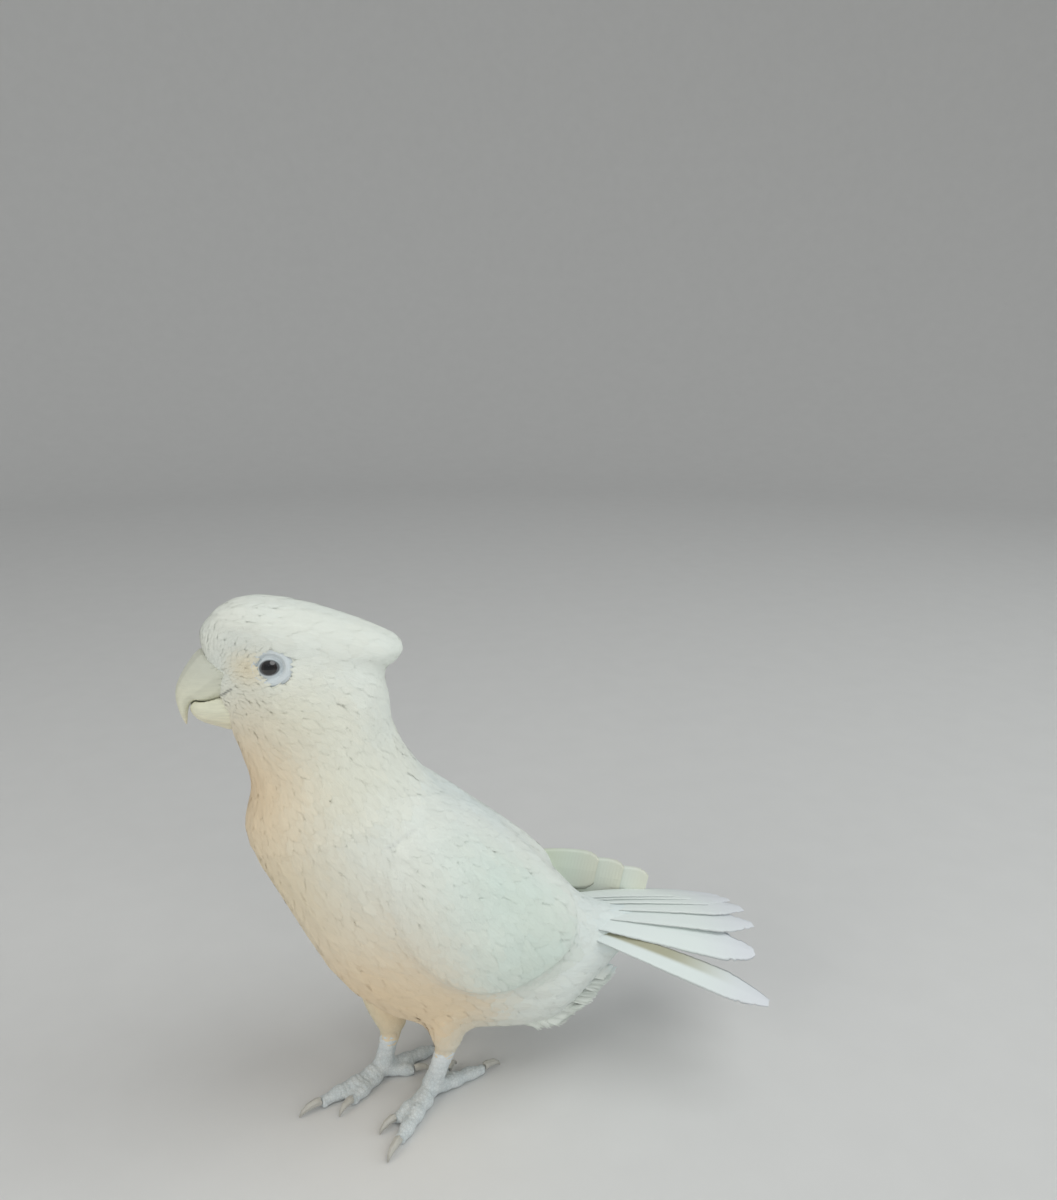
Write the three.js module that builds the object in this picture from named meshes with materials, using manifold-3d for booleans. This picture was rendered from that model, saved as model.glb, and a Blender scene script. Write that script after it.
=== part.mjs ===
// A life-size Goffin's cockatoo (Cacatua goffiniana), standing alert with closed wings and a half-fanned
// tail. Millimetres. +Z is up, the bird faces -Y, and +X is its left side. The soles are flat on Z = 0.
import * as THREE from "three";
import { mergeVertices } from "three/addons/utils/BufferGeometryUtils.js";
import Module from "manifold-3d";

const wasm = await Module();
wasm.setup();

// ---------- driving dimensions ----------
const GAP = 0.3; // clearance between neighbouring pieces
const RAD = Math.PI / 180;
// Rings along a lofted piece or steps along a limb, then sides round it.
const DIVISIONS = {
  body: [30, 22],
  crest: [12, 12],
  upperBill: [14, 12],
  lowerBill: [9, 12],
  thigh: [7, 14],
  tarsus: [7, 12],
  toe: [5, 8],
  claw: [4, 6],
};

// The body from the bill's root to the tail's root, as cross-sections: dorsal [y, z], ventral [y, z],
// half width, and egg, which moves the widest place towards the belly when it is below zero.
const BODY = [
  { dorsal: [-75.3, 205], ventral: [-65.5, 172], half: 9, egg: 0 },
  { dorsal: [-75.8, 210], ventral: [-65.5, 167.8], half: 14, egg: -0.05 },
  { dorsal: [-70, 216], ventral: [-63.8, 162.8], half: 18, egg: -0.08 },
  { dorsal: [-57, 218.8], ventral: [-62.6, 157.5], half: 20.3, egg: -0.1 },
  { dorsal: [-35, 212.5], ventral: [-61, 151.5], half: 21.5, egg: -0.08 },
  { dorsal: [-16, 201], ventral: [-60.8, 145.5], half: 22.5, egg: -0.04 },
  { dorsal: [-6.5, 188], ventral: [-62, 138.5], half: 24, egg: 0 },
  { dorsal: [-5, 170], ventral: [-64.2, 130], half: 27.5, egg: 0 },
  { dorsal: [4.5, 149.5], ventral: [-61.3, 118], half: 32, egg: 0.03 },
  { dorsal: [22, 131.5], ventral: [-52.8, 100], half: 34.5, egg: 0.06 },
  { dorsal: [40.5, 114.5], ventral: [-42, 77], half: 36, egg: 0.08 },
  { dorsal: [56.5, 99.5], ventral: [-28.3, 53], half: 34, egg: 0.08 },
  { dorsal: [68, 88], ventral: [-5, 34], half: 30, egg: 0.05 },
  { dorsal: [76, 78], ventral: [24, 26], half: 25.5, egg: 0 },
  { dorsal: [84, 74], ventral: [50, 24], half: 21, egg: 0 },
  { dorsal: [92, 71.5], ventral: [69, 34], half: 16.5, egg: 0 },
  { dorsal: [100, 69.5], ventral: [86, 50], half: 12.5, egg: 0 },
  { dorsal: [107, 68], ventral: [102, 58.5], half: 9, egg: 0 },
];
const HEAD_CUT = { dorsal: [-7, 184], ventral: [-60, 143] };
const NECK_CUT = { dorsal: [10, 146], ventral: [-63, 122] };

// The sides of the face are drawn in between the eyes and the bill, by a share of the width that rises from
// one y to another, above the throat and less under the crown.
const FACE = { drawnIn: 0.46, along: [48, 68], throat: [150, 172], crown: [198, 214], crownShare: 0.25 };

const UPPER_BILL = [
  { dorsal: [-66, 206], ventral: [-57, 190], half: 9.7, egg: -0.1 },
  { dorsal: [-73.5, 204.5], ventral: [-62.5, 186.8], half: 9.6, egg: -0.1 },
  { dorsal: [-77.8, 201.3], ventral: [-67.5, 184.2], half: 9.1, egg: -0.12 },
  { dorsal: [-81, 197], ventral: [-71.5, 182.6], half: 8.2, egg: -0.12 },
  { dorsal: [-83.5, 193], ventral: [-75, 182.6], half: 7.2, egg: -0.1 },
  { dorsal: [-85.3, 188.8], ventral: [-78, 183.6], half: 5.9, egg: -0.05 },
  { dorsal: [-85.8, 185], ventral: [-80.6, 181.8], half: 4.6, egg: 0 },
  { dorsal: [-85.3, 181], ventral: [-81.7, 178.2], half: 3.2, egg: 0 },
  { dorsal: [-84.3, 177.2], ventral: [-82, 175.8], half: 1.9, egg: 0 },
  { dorsal: [-82.8, 173.6], ventral: [-82.4, 173.4], half: 0.5, egg: 0 },
];
const LOWER_BILL = [
  { dorsal: [-59, 192], ventral: [-62, 168.5], half: 9.2, egg: 0 },
  { dorsal: [-65, 190], ventral: [-66.5, 170], half: 9, egg: 0 },
  { dorsal: [-70.5, 188.5], ventral: [-71, 172], half: 8.4, egg: 0 },
  { dorsal: [-75.2, 187.5], ventral: [-75.5, 173.8], half: 7.3, egg: 0 },
  { dorsal: [-78.6, 187], ventral: [-79, 176], half: 5.4, egg: 0 },
  { dorsal: [-80.2, 185.5], ventral: [-80.8, 179], half: 3, egg: 0 },
];
const CREST = [
  { dorsal: [-74.5, 212.5], ventral: [-66, 203], half: 7, egg: 0 },
  { dorsal: [-66, 220.5], ventral: [-56, 200], half: 12.5, egg: 0 },
  { dorsal: [-52, 222.6], ventral: [-47, 194], half: 16, egg: 0 },
  { dorsal: [-34.5, 218.2], ventral: [-35, 189], half: 16.5, egg: 0 },
  { dorsal: [-20, 212.6], ventral: [-23, 187], half: 14.5, egg: 0 },
  { dorsal: [-8, 206.8], ventral: [-12, 188.5], half: 11.5, egg: 0 },
  { dorsal: [-1, 202.3], ventral: [-4.5, 191.6], half: 7.5, egg: 0 },
  { dorsal: [0.6, 198.6], ventral: [-0.7, 195], half: 3.5, egg: 0 },
];
const MOUTH = 0.6; // clearance between the two halves of the bill

const EYE = { radius: 4.8, y: -51.5, z: 198, inset: 2 };

// The folded wing, seen from the side: its outline [y, z] and where its feathers fan from.
const WING = {
  outline: [
    [-10, 130],
    [1, 143],
    [18, 136],
    [39, 119.5],
    [56.5, 102.5],
    [67, 88],
    [65, 73],
    [49, 65],
    [30, 60.5],
    [12, 67],
    [-4, 84],
    [-12, 108],
  ],
  centre: [26, 98],
  bulge: 3.2,
  edge: 1.6,
  standOff: 5,
  standFrom: [0.48, 0.76],
  spread: 40,
  thickness: 4.5,
  rings: 4,
  steps: 22,
};

// Flight feathers of the right wing, which reach past it beside the rump; those of the left wing are clipped.
// Tips [x, y, z] step down and back from the first feather to the last.
const FLIGHT = {
  count: 3,
  width: 19,
  thickness: 0.9,
  length: 44,
  droop: 12,
  inward: 0.12,
  upright: 0.45,
  first: [-22.5, 91.5, 75.5],
  last: [-21, 115.5, 64.5],
};

// Tail feathers fan from a root under the rump; angles are from straight back, towards the bird's left.
// The closed ones crowd to the right, and each grows shorter and droops more away from the middle.
const TAIL = {
  root: [0, 74, 73],
  width: 16,
  thickness: 0.9,
  bend: 8,
  tilt: 0.22,
  closed: {
    count: 7,
    from: -15,
    to: 12,
    crowd: 2.2,
    rootHalf: 7,
    roll: 14,
    length: 87,
    shorter: 5,
    droop: 6.5,
    more: 3,
  },
  splayed: { angle: 33, droop: 9.5, length: 85, drop: 3.5, rootX: 9, roll: 16 },
};
// How a long feather's blade widens from its root and narrows to its tip, as shares of its length and width.
const BLADE = { widest: 0.72, rootWidth: 0.5, tipWidth: 0.14, cup: 0.09 };

const TARSUS = { radii: [4.9, 4, 4.2, 5], bottom: 4.8, kneeForward: 1.5 };
const LEGS = {
  left: {
    hip: [14, 15, 57],
    hock: [14, 12.5, 26],
    foot: [12.5, 5.5],
    thigh: [13.5, 10, 6],
    toes: [36, 55, 199, 230],
  },
  right: {
    hip: [-12, -7, 55],
    hock: [-9, -8, 22],
    foot: [-6, -13],
    thigh: [15, 12, 6],
    toes: [46, 26, 200, 168],
  },
};
// Parrots have two toes forward and two back: length without the claw, and radius at the root.
const TOES = [
  { name: "front_inner", length: 22, radius: 3.3, claw: 9 },
  { name: "front_outer", length: 31, radius: 3.6, claw: 11 },
  { name: "back_outer", length: 26, radius: 3.4, claw: 9 },
  { name: "back_inner", length: 14, radius: 3.1, claw: 8 },
];
// Along a toe: shares of its length, heights and radii as shares of its radius, then millimetres added.
const TOE_LINE = [
  { along: 0, height: 1, radius: 1, more: 0.8, thicker: 0.3 },
  { along: 0.35, height: 0.82, radius: 1, more: 0, thicker: 0 },
  { along: 0.7, height: 0.76, radius: 0.92, more: 0, thicker: 0 },
  { along: 1, height: 0.62, radius: 0.72, more: 0, thicker: 0 },
];
// Along a claw, past the toe's end: shares of its reach, heights in mm, radii as shares of the toe's radius.
const CLAW_LINE = [
  { along: -0.15, height: 2.9, radius: 0.55 },
  { along: 0.35, height: 3.9, radius: 0.5 },
  { along: 0.75, height: 2.9, radius: 0.32 },
  { along: 0.95, height: 0.7, radius: 0.11 },
];

// ---------- helpers ----------

// A manifold-3d solid from a closed three.js geometry, its faces turned outwards.
function solid(geometry) {
  const bare = geometry.index ? geometry.toNonIndexed() : geometry.clone();
  bare.deleteAttribute("normal");
  bare.deleteAttribute("uv");
  const merged = mergeVertices(bare, 1e-4);
  const at = merged.attributes.position;
  const faces = Array.from(merged.index.array);
  const corner = (k) => new THREE.Vector3().fromBufferAttribute(at, faces[k]);
  let volume = 0;
  for (let k = 0; k < faces.length; k += 3) volume += corner(k).dot(corner(k + 1).cross(corner(k + 2)));
  if (volume < 0) faces.reverse();
  return new wasm.Manifold(
    new wasm.Mesh({ numProp: 3, vertProperties: at.array, triVerts: new Uint32Array(faces) }),
  );
}

// Back from a manifold-3d solid to a three.js geometry.
function geometryOf(piece) {
  const mesh = piece.getMesh();
  const geometry = new THREE.BufferGeometry();
  geometry.setAttribute("position", new THREE.BufferAttribute(new Float32Array(mesh.vertProperties), 3));
  geometry.setIndex(new THREE.BufferAttribute(new Uint32Array(mesh.triVerts), 1));
  geometry.computeVertexNormals();
  return geometry;
}

// The largest body of a solid, which drops slivers that a cut leaves.
function largest(piece) {
  return piece.decompose().reduce((a, b) => (b.volume() > a.volume() ? b : a));
}

function unionOf(pieces) {
  return pieces.reduce((sum, piece) => sum.add(piece));
}

function vector(p) {
  return new THREE.Vector3(...p);
}

function smooth(points, closed = false) {
  return new THREE.CatmullRomCurve3(points.map(vector), closed, "centripetal");
}

// A closed solid through rings of points, all in the same order, with a fan over each end.
function throughRings(rings) {
  const sides = rings[0].length;
  const points = rings.flat().flatMap((p) => [p.x, p.y, p.z]);
  const faces = [];
  for (let i = 0; i + 1 < rings.length; i++) {
    for (let j = 0; j < sides; j++) {
      const a = i * sides + j;
      const b = i * sides + ((j + 1) % sides);
      faces.push(a, b, b + sides, a, b + sides, a + sides);
    }
  }
  for (const [ring, first, turned] of [
    [rings[0], 0, true],
    [rings.at(-1), (rings.length - 1) * sides, false],
  ]) {
    const middle = ring.reduce((sum, p) => sum.add(p), new THREE.Vector3()).divideScalar(sides);
    const hub = points.length / 3;
    points.push(middle.x, middle.y, middle.z);
    for (let j = 0; j < sides; j++) {
      const a = first + j;
      const b = first + ((j + 1) % sides);
      faces.push(hub, turned ? b : a, turned ? a : b);
    }
  }
  const geometry = new THREE.BufferGeometry();
  geometry.setAttribute("position", new THREE.Float32BufferAttribute(points, 3));
  geometry.setIndex(faces);
  return solid(geometry);
}

// A line's normal in the side view, a quarter turn from its tangent.
function normalAt(curve, t) {
  const tangent = curve.getTangent(t);
  return new THREE.Vector3(-tangent.y, tangent.x, 0);
}

// 1 or -1, as a line's normals point away from another line or towards it over its whole length.
function outsideOf(curve, other) {
  let total = 0;
  for (let t = 0; t <= 1; t += 0.1) {
    total += normalAt(curve, t).dot(curve.getPoint(t).sub(other.getPoint(t)));
  }
  return Math.sign(total);
}

// Section values at share t of the way through the stations, grown all round by some millimetres.
function sectionsOf(stations) {
  const dorsal = smooth(stations.map((s) => [...s.dorsal, 0]));
  const ventral = smooth(stations.map((s) => [...s.ventral, 0]));
  const shape = smooth(stations.map((s, i) => [s.half, s.egg * 10, i]));
  const turns = [outsideOf(dorsal, ventral), outsideOf(ventral, dorsal)];
  return (t, grow = 0) => {
    const d = dorsal.getPoint(t).addScaledVector(normalAt(dorsal, t), grow * turns[0]);
    const v = ventral.getPoint(t).addScaledVector(normalAt(ventral, t), grow * turns[1]);
    const up = d.clone().sub(v).normalize();
    const w = shape.getPoint(t);
    const reach = d.distanceTo(v) / 2;
    return { middle: d.add(v).multiplyScalar(0.5), up, reach, half: w.x + grow, egg: w.y / 10 };
  };
}

// A smooth solid through cross-sections; ring angle 0 is the left side and 90 degrees the back. Its width
// may be narrowed by a share that depends on the place in the side view.
function loft(stations, count, sides, grow = 0, narrowAt = () => 1) {
  const at = sectionsOf(stations);
  const rings = Array.from({ length: count }, (_, i) => {
    const s = at(i / (count - 1), grow);
    const past = i === 0 ? -grow : i === count - 1 ? grow : 0;
    s.middle.add(new THREE.Vector3(s.up.y * past, -s.up.x * past, 0));
    return Array.from({ length: sides }, (_, j) => {
      const angle = (2 * Math.PI * j) / sides;
      const rise = Math.sin(angle);
      const y = s.middle.x + s.up.x * s.reach * rise;
      const z = s.middle.y + s.up.y * s.reach * rise;
      const narrow = narrowAt(y, z);
      const half = s.half * (1 + s.egg * rise) * narrow + grow * (1 - narrow);
      return new THREE.Vector3(half * Math.cos(angle), y, z);
    });
  });
  return throughRings(rings);
}

// The plane through a dorsal and a ventral point, square to the side view: its normal points to the tail.
function cutPlane({ dorsal, ventral }) {
  const line = new THREE.Vector2(dorsal[0] - ventral[0], dorsal[1] - ventral[1]).normalize();
  return { normal: [0, line.y, -line.x], offset: line.y * dorsal[0] - line.x * dorsal[1] };
}

function headside(piece, cut) {
  const { normal, offset } = cutPlane(cut);
  return piece.trimByPlane(normal.map((n) => -n), -offset + GAP / 2);
}

function tailside(piece, cut) {
  const { normal, offset } = cutPlane(cut);
  return piece.trimByPlane(normal, offset + GAP / 2);
}

// A round limb along points, with a radius at each. A flat limb is pressed level on the floor.
function limb(points, radii, steps, sides, { flat = false, grow = 0 } = {}) {
  const path = smooth(points);
  const sizes = smooth(radii.map((r, i) => [r, i, 0]));
  let side = new THREE.Vector3(1, 0, 0);
  const rings = Array.from({ length: steps + 1 }, (_, i) => {
    const middle = path.getPoint(i / steps);
    const along = path.getTangent(i / steps).normalize();
    side = side.clone().sub(along.clone().multiplyScalar(side.dot(along))).normalize();
    const other = along.clone().cross(side);
    const radius = sizes.getPoint(i / steps).x + grow;
    if (i === 0) middle.addScaledVector(along, -grow);
    if (i === steps) middle.addScaledVector(along, grow);
    return Array.from({ length: sides }, (_, j) => {
      const angle = (2 * Math.PI * (j + 0.5)) / sides;
      const p = middle.clone().addScaledVector(side, radius * Math.cos(angle));
      p.addScaledVector(other, radius * Math.sin(angle));
      if (flat) p.z = Math.max(p.z, 0);
      return p;
    });
  });
  return throughRings(rings);
}

// A long feather as a thin closed blade that widens to its tip, cupped across and bent down along. Its tip
// is round at a roundness of 2 and pointed at 1.
function blade({ root, along, up, length, width, thickness, bend = 0, roundness = 2, steps = 6 }) {
  const forward = along.clone().normalize();
  const side = up.clone().cross(forward).normalize();
  const top = forward.clone().cross(side);
  const corners = [[1, 1], [0, 1], [-1, 1], [-1, -1], [0, -1], [1, -1]];
  const rings = Array.from({ length: steps + 1 }, (_, i) => {
    const t = i / steps;
    const opened = Math.sin(((Math.PI / 2) * t) / BLADE.widest);
    const widening = BLADE.rootWidth + (1 - BLADE.rootWidth) * opened;
    const past = Math.max(t - BLADE.widest, 0) / (1 - BLADE.widest);
    const narrowing = Math.max((1 - past ** roundness) ** (1 / roundness), BLADE.tipWidth);
    const half = (width / 2) * (past > 0 ? narrowing : widening);
    const middle = vector(root).addScaledVector(forward, length * t).addScaledVector(top, -bend * t * t);
    return corners.map(([across, lift]) => {
      const height = (lift * thickness) / 2 - BLADE.cup * half * across * across;
      return middle.clone().addScaledVector(side, across * half).addScaledVector(top, height);
    });
  });
  return throughRings(rings);
}

// ---------- the model ----------
const model = new THREE.Group();
const LOOKS = {
  white: { color: 0xeae9de, roughness: 0.75, metalness: 0 },
  horn: { color: 0xc9c6b2, roughness: 0.4, metalness: 0 },
  eye: { color: 0x0b0d14, roughness: 0.08, metalness: 0 },
  foot: { color: 0xb4b9ba, roughness: 0.7, metalness: 0 },
  claw: { color: 0x8f8f88, roughness: 0.45, metalness: 0 },
};

function addNode(name, piece, look) {
  const mesh = new THREE.Mesh(geometryOf(piece), new THREE.MeshStandardMaterial(LOOKS[look]));
  mesh.name = name;
  model.add(mesh);
}

// What share of its width the body keeps at a place in the side view: less on the sides of the face.
function faceNarrowing(y, z) {
  const rise = THREE.MathUtils.smoothstep;
  const crown = 1 - (1 - FACE.crownShare) * rise(z, ...FACE.crown);
  return 1 - FACE.drawnIn * rise(-y, ...FACE.along) * rise(z, ...FACE.throat) * crown;
}

const body = loft(BODY, ...DIVISIONS.body, 0, faceNarrowing);
const bodyGrown = loft(BODY, ...DIVISIONS.body, GAP, faceNarrowing);
const bodyAt = sectionsOf(BODY);

// How far out to the side the body's surface is at a place in the side view, grown by a depth that may
// vary along it.
function sideReach(y, z, growAt = () => 0) {
  let low = 0;
  let high = 1;
  for (let i = 0; i < 24; i++) {
    const t = (low + high) / 2;
    const s = bodyAt(t, growAt(t));
    const beyond = (y - s.middle.x) * s.up.y - (z - s.middle.y) * s.up.x > 0;
    if (beyond) low = t;
    else high = t;
  }
  const s = bodyAt(low, growAt(low));
  const rise = ((y - s.middle.x) * s.up.x + (z - s.middle.y) * s.up.y) / s.reach;
  const round = Math.sqrt(Math.max(1 - rise * rise, 0)) * (1 + s.egg * THREE.MathUtils.clamp(rise, -1, 1));
  return s.half * round * faceNarrowing(y, z);
}

function eyeCentre(side) {
  return [side * (sideReach(EYE.y, EYE.z) - EYE.inset), EYE.y, EYE.z];
}

function eyeball(side, grow) {
  const geometry = new THREE.IcosahedronGeometry(EYE.radius + grow, 2);
  return solid(geometry.translate(...eyeCentre(side)));
}

const sockets = eyeball(1, GAP).add(eyeball(-1, GAP));
const crestSolid = loft(CREST, ...DIVISIONS.crest);
const upperBill = loft(UPPER_BILL, ...DIVISIONS.upperBill);
const upperBillGrown = loft(UPPER_BILL, ...DIVISIONS.upperBill, MOUTH);
const lowerBill = loft(LOWER_BILL, ...DIVISIONS.lowerBill);

addNode("trunk", tailside(body, NECK_CUT), "white");
addNode("neck", headside(tailside(body, HEAD_CUT), NECK_CUT), "white");
addNode("head", headside(body, HEAD_CUT).subtract(sockets), "white");
addNode("crest", largest(crestSolid.subtract(bodyGrown)), "white");
addNode("bill_upper", largest(upperBill.subtract(bodyGrown)), "horn");
addNode("bill_lower", largest(lowerBill.subtract(bodyGrown).subtract(upperBillGrown)), "horn");

// A folded wing: a thin dome over its outline, wrapped round the body and standing off it to the tail.
function wing(side, grow = 0) {
  const { outline, centre, bulge, edge, standOff, standFrom, thickness, rings, steps, spread } = WING;
  const rim = smooth(outline.map((p) => [0, ...p]), true);
  const hub = new THREE.Vector3(0, ...centre);
  const growAt = (more) => (t) => more + standOff * THREE.MathUtils.smoothstep(t, ...standFrom);
  const rows = Array.from({ length: rings }, (_, i) => {
    const share = Math.sin(((Math.PI / 2) * (i + 1)) / rings);
    const depth = edge + bulge * (1 - share ** 3) + grow;
    const thick = edge + (thickness - edge) * (1 - share ** 4) + 2 * grow;
    return Array.from({ length: steps }, (_, j) => {
      const p = hub.clone().lerp(rim.getPoint(j / steps), share * (1 + grow / spread));
      const outer = sideReach(p.y, p.z, growAt(depth));
      const inner = Math.min(sideReach(p.y, p.z, growAt(depth - thick)), outer - thick);
      return { p, outer, inner };
    });
  });
  const place = (row, kind) => row.map((c) => new THREE.Vector3(side * c[kind], c.p.y, c.p.z));
  const outside = rows.map((row) => place(row, "outer"));
  const inside = rows.toReversed().map((row) => place(row, "inner"));
  return largest(throughRings([...outside, ...inside]).subtract(bodyGrown).trimByPlane([side, 0, 0], edge));
}
const wings = { left: wing(1), right: wing(-1) };
for (const [label, piece] of Object.entries(wings)) {
  addNode(`wing_${label}`, piece, "white");
}

// The right wing's flight feathers stand nearly upright beside the rump, each a step lower and further back.
function flightFeathers() {
  const { count, first, last, droop, inward, upright, length, width, thickness } = FLIGHT;
  const along = new THREE.Vector3(inward, Math.cos(droop * RAD), -Math.sin(droop * RAD)).normalize();
  const up = new THREE.Vector3(-1, 0, upright);
  const feathers = Array.from({ length: count }, (_, i) => {
    const tip = vector(first).lerp(vector(last), i / (count - 1));
    const root = tip.addScaledVector(along, -length).toArray();
    return blade({ root, along, up, length, width, thickness });
  });
  return unionOf(feathers);
}

function tailFeather({ angle, droop, length, rootX, roll, drop = 0 }) {
  const { root, tilt, width, thickness, bend } = TAIL;
  return blade({
    root: [root[0] + rootX, root[1], root[2] - rootX * tilt - drop],
    along: new THREE.Vector3(
      Math.sin(angle * RAD) * Math.cos(droop * RAD),
      Math.cos(angle * RAD) * Math.cos(droop * RAD),
      -Math.sin(droop * RAD),
    ),
    up: new THREE.Vector3(Math.sin(roll * RAD), 0, Math.cos(roll * RAD)),
    length,
    width,
    thickness,
    bend,
    roundness: 1.3,
  });
}

function closedTail() {
  const { count, from, to, crowd, rootHalf, roll, length, shorter, droop, more } = TAIL.closed;
  const feathers = Array.from({ length: count }, (_, i) => {
    const share = (i / (count - 1)) ** crowd;
    const across = 2 * share - 1;
    const outward = across * across;
    return tailFeather({
      angle: from + (to - from) * share,
      droop: droop + more * outward,
      length: length - shorter * outward,
      rootX: across * rootHalf,
      roll: across * roll,
    });
  });
  return largest(unionOf(feathers));
}

const tail = closedTail();
const flight = flightFeathers().subtract(bodyGrown).subtract(wing(-1, GAP)).subtract(tail);
addNode("tail", largest(tail.subtract(bodyGrown)), "white");
addNode("tail_splayed_left", largest(tailFeather(TAIL.splayed).subtract(bodyGrown).subtract(tail)), "white");
addNode("flight_right", largest(flight), "white");

// ---------- legs ----------
// A place ahead of a foot's middle, along a toe's heading in degrees.
function ahead(start, heading, distance, z) {
  return [start[0] + Math.sin(heading * RAD) * distance, start[1] - Math.cos(heading * RAD) * distance, z];
}

function toe(start, heading, { length, radius }, grow = 0) {
  const points = TOE_LINE.map((p) => ahead(start, heading, length * p.along, radius * p.height + p.more));
  const radii = TOE_LINE.map((p) => radius * p.radius + p.thicker);
  return limb(points, radii, ...DIVISIONS.toe, { flat: true, grow });
}

function claw(start, heading, { length, radius, claw: reach }) {
  const points = CLAW_LINE.map((p) => ahead(start, heading, length + reach * p.along, p.height));
  return limb(points, CLAW_LINE.map((p) => radius * p.radius), ...DIVISIONS.claw);
}

for (const [label, leg] of Object.entries(LEGS)) {
  const hock = vector(leg.hock);
  const foot = new THREE.Vector3(...leg.foot, TARSUS.bottom);
  const knee = vector(leg.hip).lerp(hock, 0.5).add(new THREE.Vector3(0, -TARSUS.kneeForward, 0));
  const thighLine = [leg.hip, knee.toArray(), leg.hock];
  const ankle = foot.clone().lerp(hock, 0.25);
  const tarsusLine = [leg.hock, hock.clone().lerp(foot, 0.5).toArray(), ankle.toArray(), foot.toArray()];
  const thigh = limb(thighLine, leg.thigh, ...DIVISIONS.thigh);
  const thighGrown = limb(thighLine, leg.thigh, ...DIVISIONS.thigh, { grow: GAP });
  const tarsus = limb(tarsusLine, TARSUS.radii, ...DIVISIONS.tarsus, { flat: true });
  const tarsusGrown = limb(tarsusLine, TARSUS.radii, ...DIVISIONS.tarsus, { grow: GAP });
  addNode(`thigh_${label}`, largest(thigh.subtract(bodyGrown)), "white");
  addNode(`tarsus_${label}`, largest(tarsus.subtract(bodyGrown).subtract(thighGrown)), "foot");
  let taken = tarsusGrown;
  TOES.forEach((kind, i) => {
    const heading = leg.toes[i];
    const clawSolid = claw(leg.foot, heading, kind).subtract(toe(leg.foot, heading, kind, GAP));
    addNode(`toe_${label}_${kind.name}`, largest(toe(leg.foot, heading, kind).subtract(taken)), "foot");
    addNode(`claw_${label}_${kind.name}`, largest(clawSolid), "claw");
    taken = taken.add(toe(leg.foot, heading, kind, GAP));
  });
}

for (const [label, side] of [["left", 1], ["right", -1]]) {
  addNode(`eye_${label}`, eyeball(side, 0), "eye");
}

// The origin is the middle of the bounding box at floor level.
model.updateMatrixWorld(true);
const middle = new THREE.Box3().setFromObject(model, true).getCenter(new THREE.Vector3());
for (const mesh of model.children) mesh.geometry.translate(-middle.x, -middle.y, 0);

export default model;
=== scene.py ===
"""The looks of the standing cockatoo: one skin, its plumage as mesh feathers, bill, eyes and claws.

Metres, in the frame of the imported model: +Z is up, the bird faces -Y and +X is its left side.
Every size is in millimetres times MM, and every place comes from the boxes of the CAD nodes.
"""

import math

import bmesh
import bpy
import numpy as np
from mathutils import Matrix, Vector
from mathutils.bvhtree import BVHTree


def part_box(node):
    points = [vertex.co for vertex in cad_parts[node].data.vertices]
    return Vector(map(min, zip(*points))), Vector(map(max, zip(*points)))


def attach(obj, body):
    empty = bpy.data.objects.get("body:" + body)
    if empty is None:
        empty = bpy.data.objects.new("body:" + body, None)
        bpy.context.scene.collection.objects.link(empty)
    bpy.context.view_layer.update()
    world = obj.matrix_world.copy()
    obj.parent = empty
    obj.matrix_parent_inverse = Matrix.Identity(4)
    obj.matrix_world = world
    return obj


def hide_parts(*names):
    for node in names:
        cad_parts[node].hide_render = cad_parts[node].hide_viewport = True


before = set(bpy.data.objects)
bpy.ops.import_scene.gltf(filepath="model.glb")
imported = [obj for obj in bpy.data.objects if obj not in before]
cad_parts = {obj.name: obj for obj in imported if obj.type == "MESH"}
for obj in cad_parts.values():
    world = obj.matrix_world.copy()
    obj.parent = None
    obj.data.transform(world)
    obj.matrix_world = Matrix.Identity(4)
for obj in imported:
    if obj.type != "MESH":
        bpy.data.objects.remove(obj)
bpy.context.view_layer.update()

MM = 0.001
X, Y, Z = range(3)
rng = np.random.default_rng(20)


def box(node):
    """Lowest and highest corner of a CAD node, as arrays."""
    lo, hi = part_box(node)
    return np.array(lo), np.array(hi)


def centre(node):
    """Middle of a CAD node's box, as an array."""
    lo, hi = box(node)
    return (lo + hi) / 2


def place_in(node, axis, share, shift=0.0):
    """A place along one axis: a share of the way through a node's box, and so many mm on from there."""
    lo, hi = box(node)
    return lo[axis] + share * (hi[axis] - lo[axis]) + shift * MM


TOES = ("front_inner", "front_outer", "back_outer", "back_inner")
SIDES = {"left": 1, "right": -1}
FEET = [f"toe_{side}_{toe}" for side in SIDES for toe in TOES]
LEGS = [f"{part}_{side}" for part in ("thigh", "tarsus") for side in SIDES]
FLESH = ["head", "neck", "trunk", "wing_left", "wing_right", *LEGS, *FEET]
CLAWS = [f"claw_{side}_{toe}" for side in SIDES for toe in TOES]
EYE = {side: centre(f"eye_{side}") for side in SIDES}
MIDDLE_X = centre("trunk")[X]

# ---------- camera, floor and light ----------
CAMERA_FROM_EYE = np.array((391.1, -6.1, 124.0)) * MM
CAMERA_LOOK = Vector((-0.935, 0.251, -0.250))
LENS_MM = 32.55
SENSOR_MM = 36
FLOOR_RADIUS = 2.6
FLOOR_BEND = 0.9
FLOOR_HEIGHT = 2.6
FLOOR_TURNS = 96
FLOOR_BENDS = 14
# Each light: where it stands from the middle of the bird, its size, watts and colour.
LIGHTS = {
    "key": {"at": (0.35, 0.45, 1.35), "size": 1.1, "power": 5.6, "colour": (0.97, 1.0, 0.99)},
    "warm": {"at": (0.75, -1.25, 0.70), "size": 1.1, "power": 7.2, "colour": (1.0, 0.96, 0.89)},
    "side": {"at": (1.5, 0.2, 0.70), "size": 1.2, "power": 5.4, "colour": (0.98, 1.0, 1.0)},
    "back": {"at": (0.35, 1.5, 0.70), "size": 1.1, "power": 5.2, "colour": (0.95, 1.0, 1.0)},
}
WORLD_COLOUR = (0.97, 0.99, 1.0)
WORLD_STRENGTH = 0.36


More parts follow.
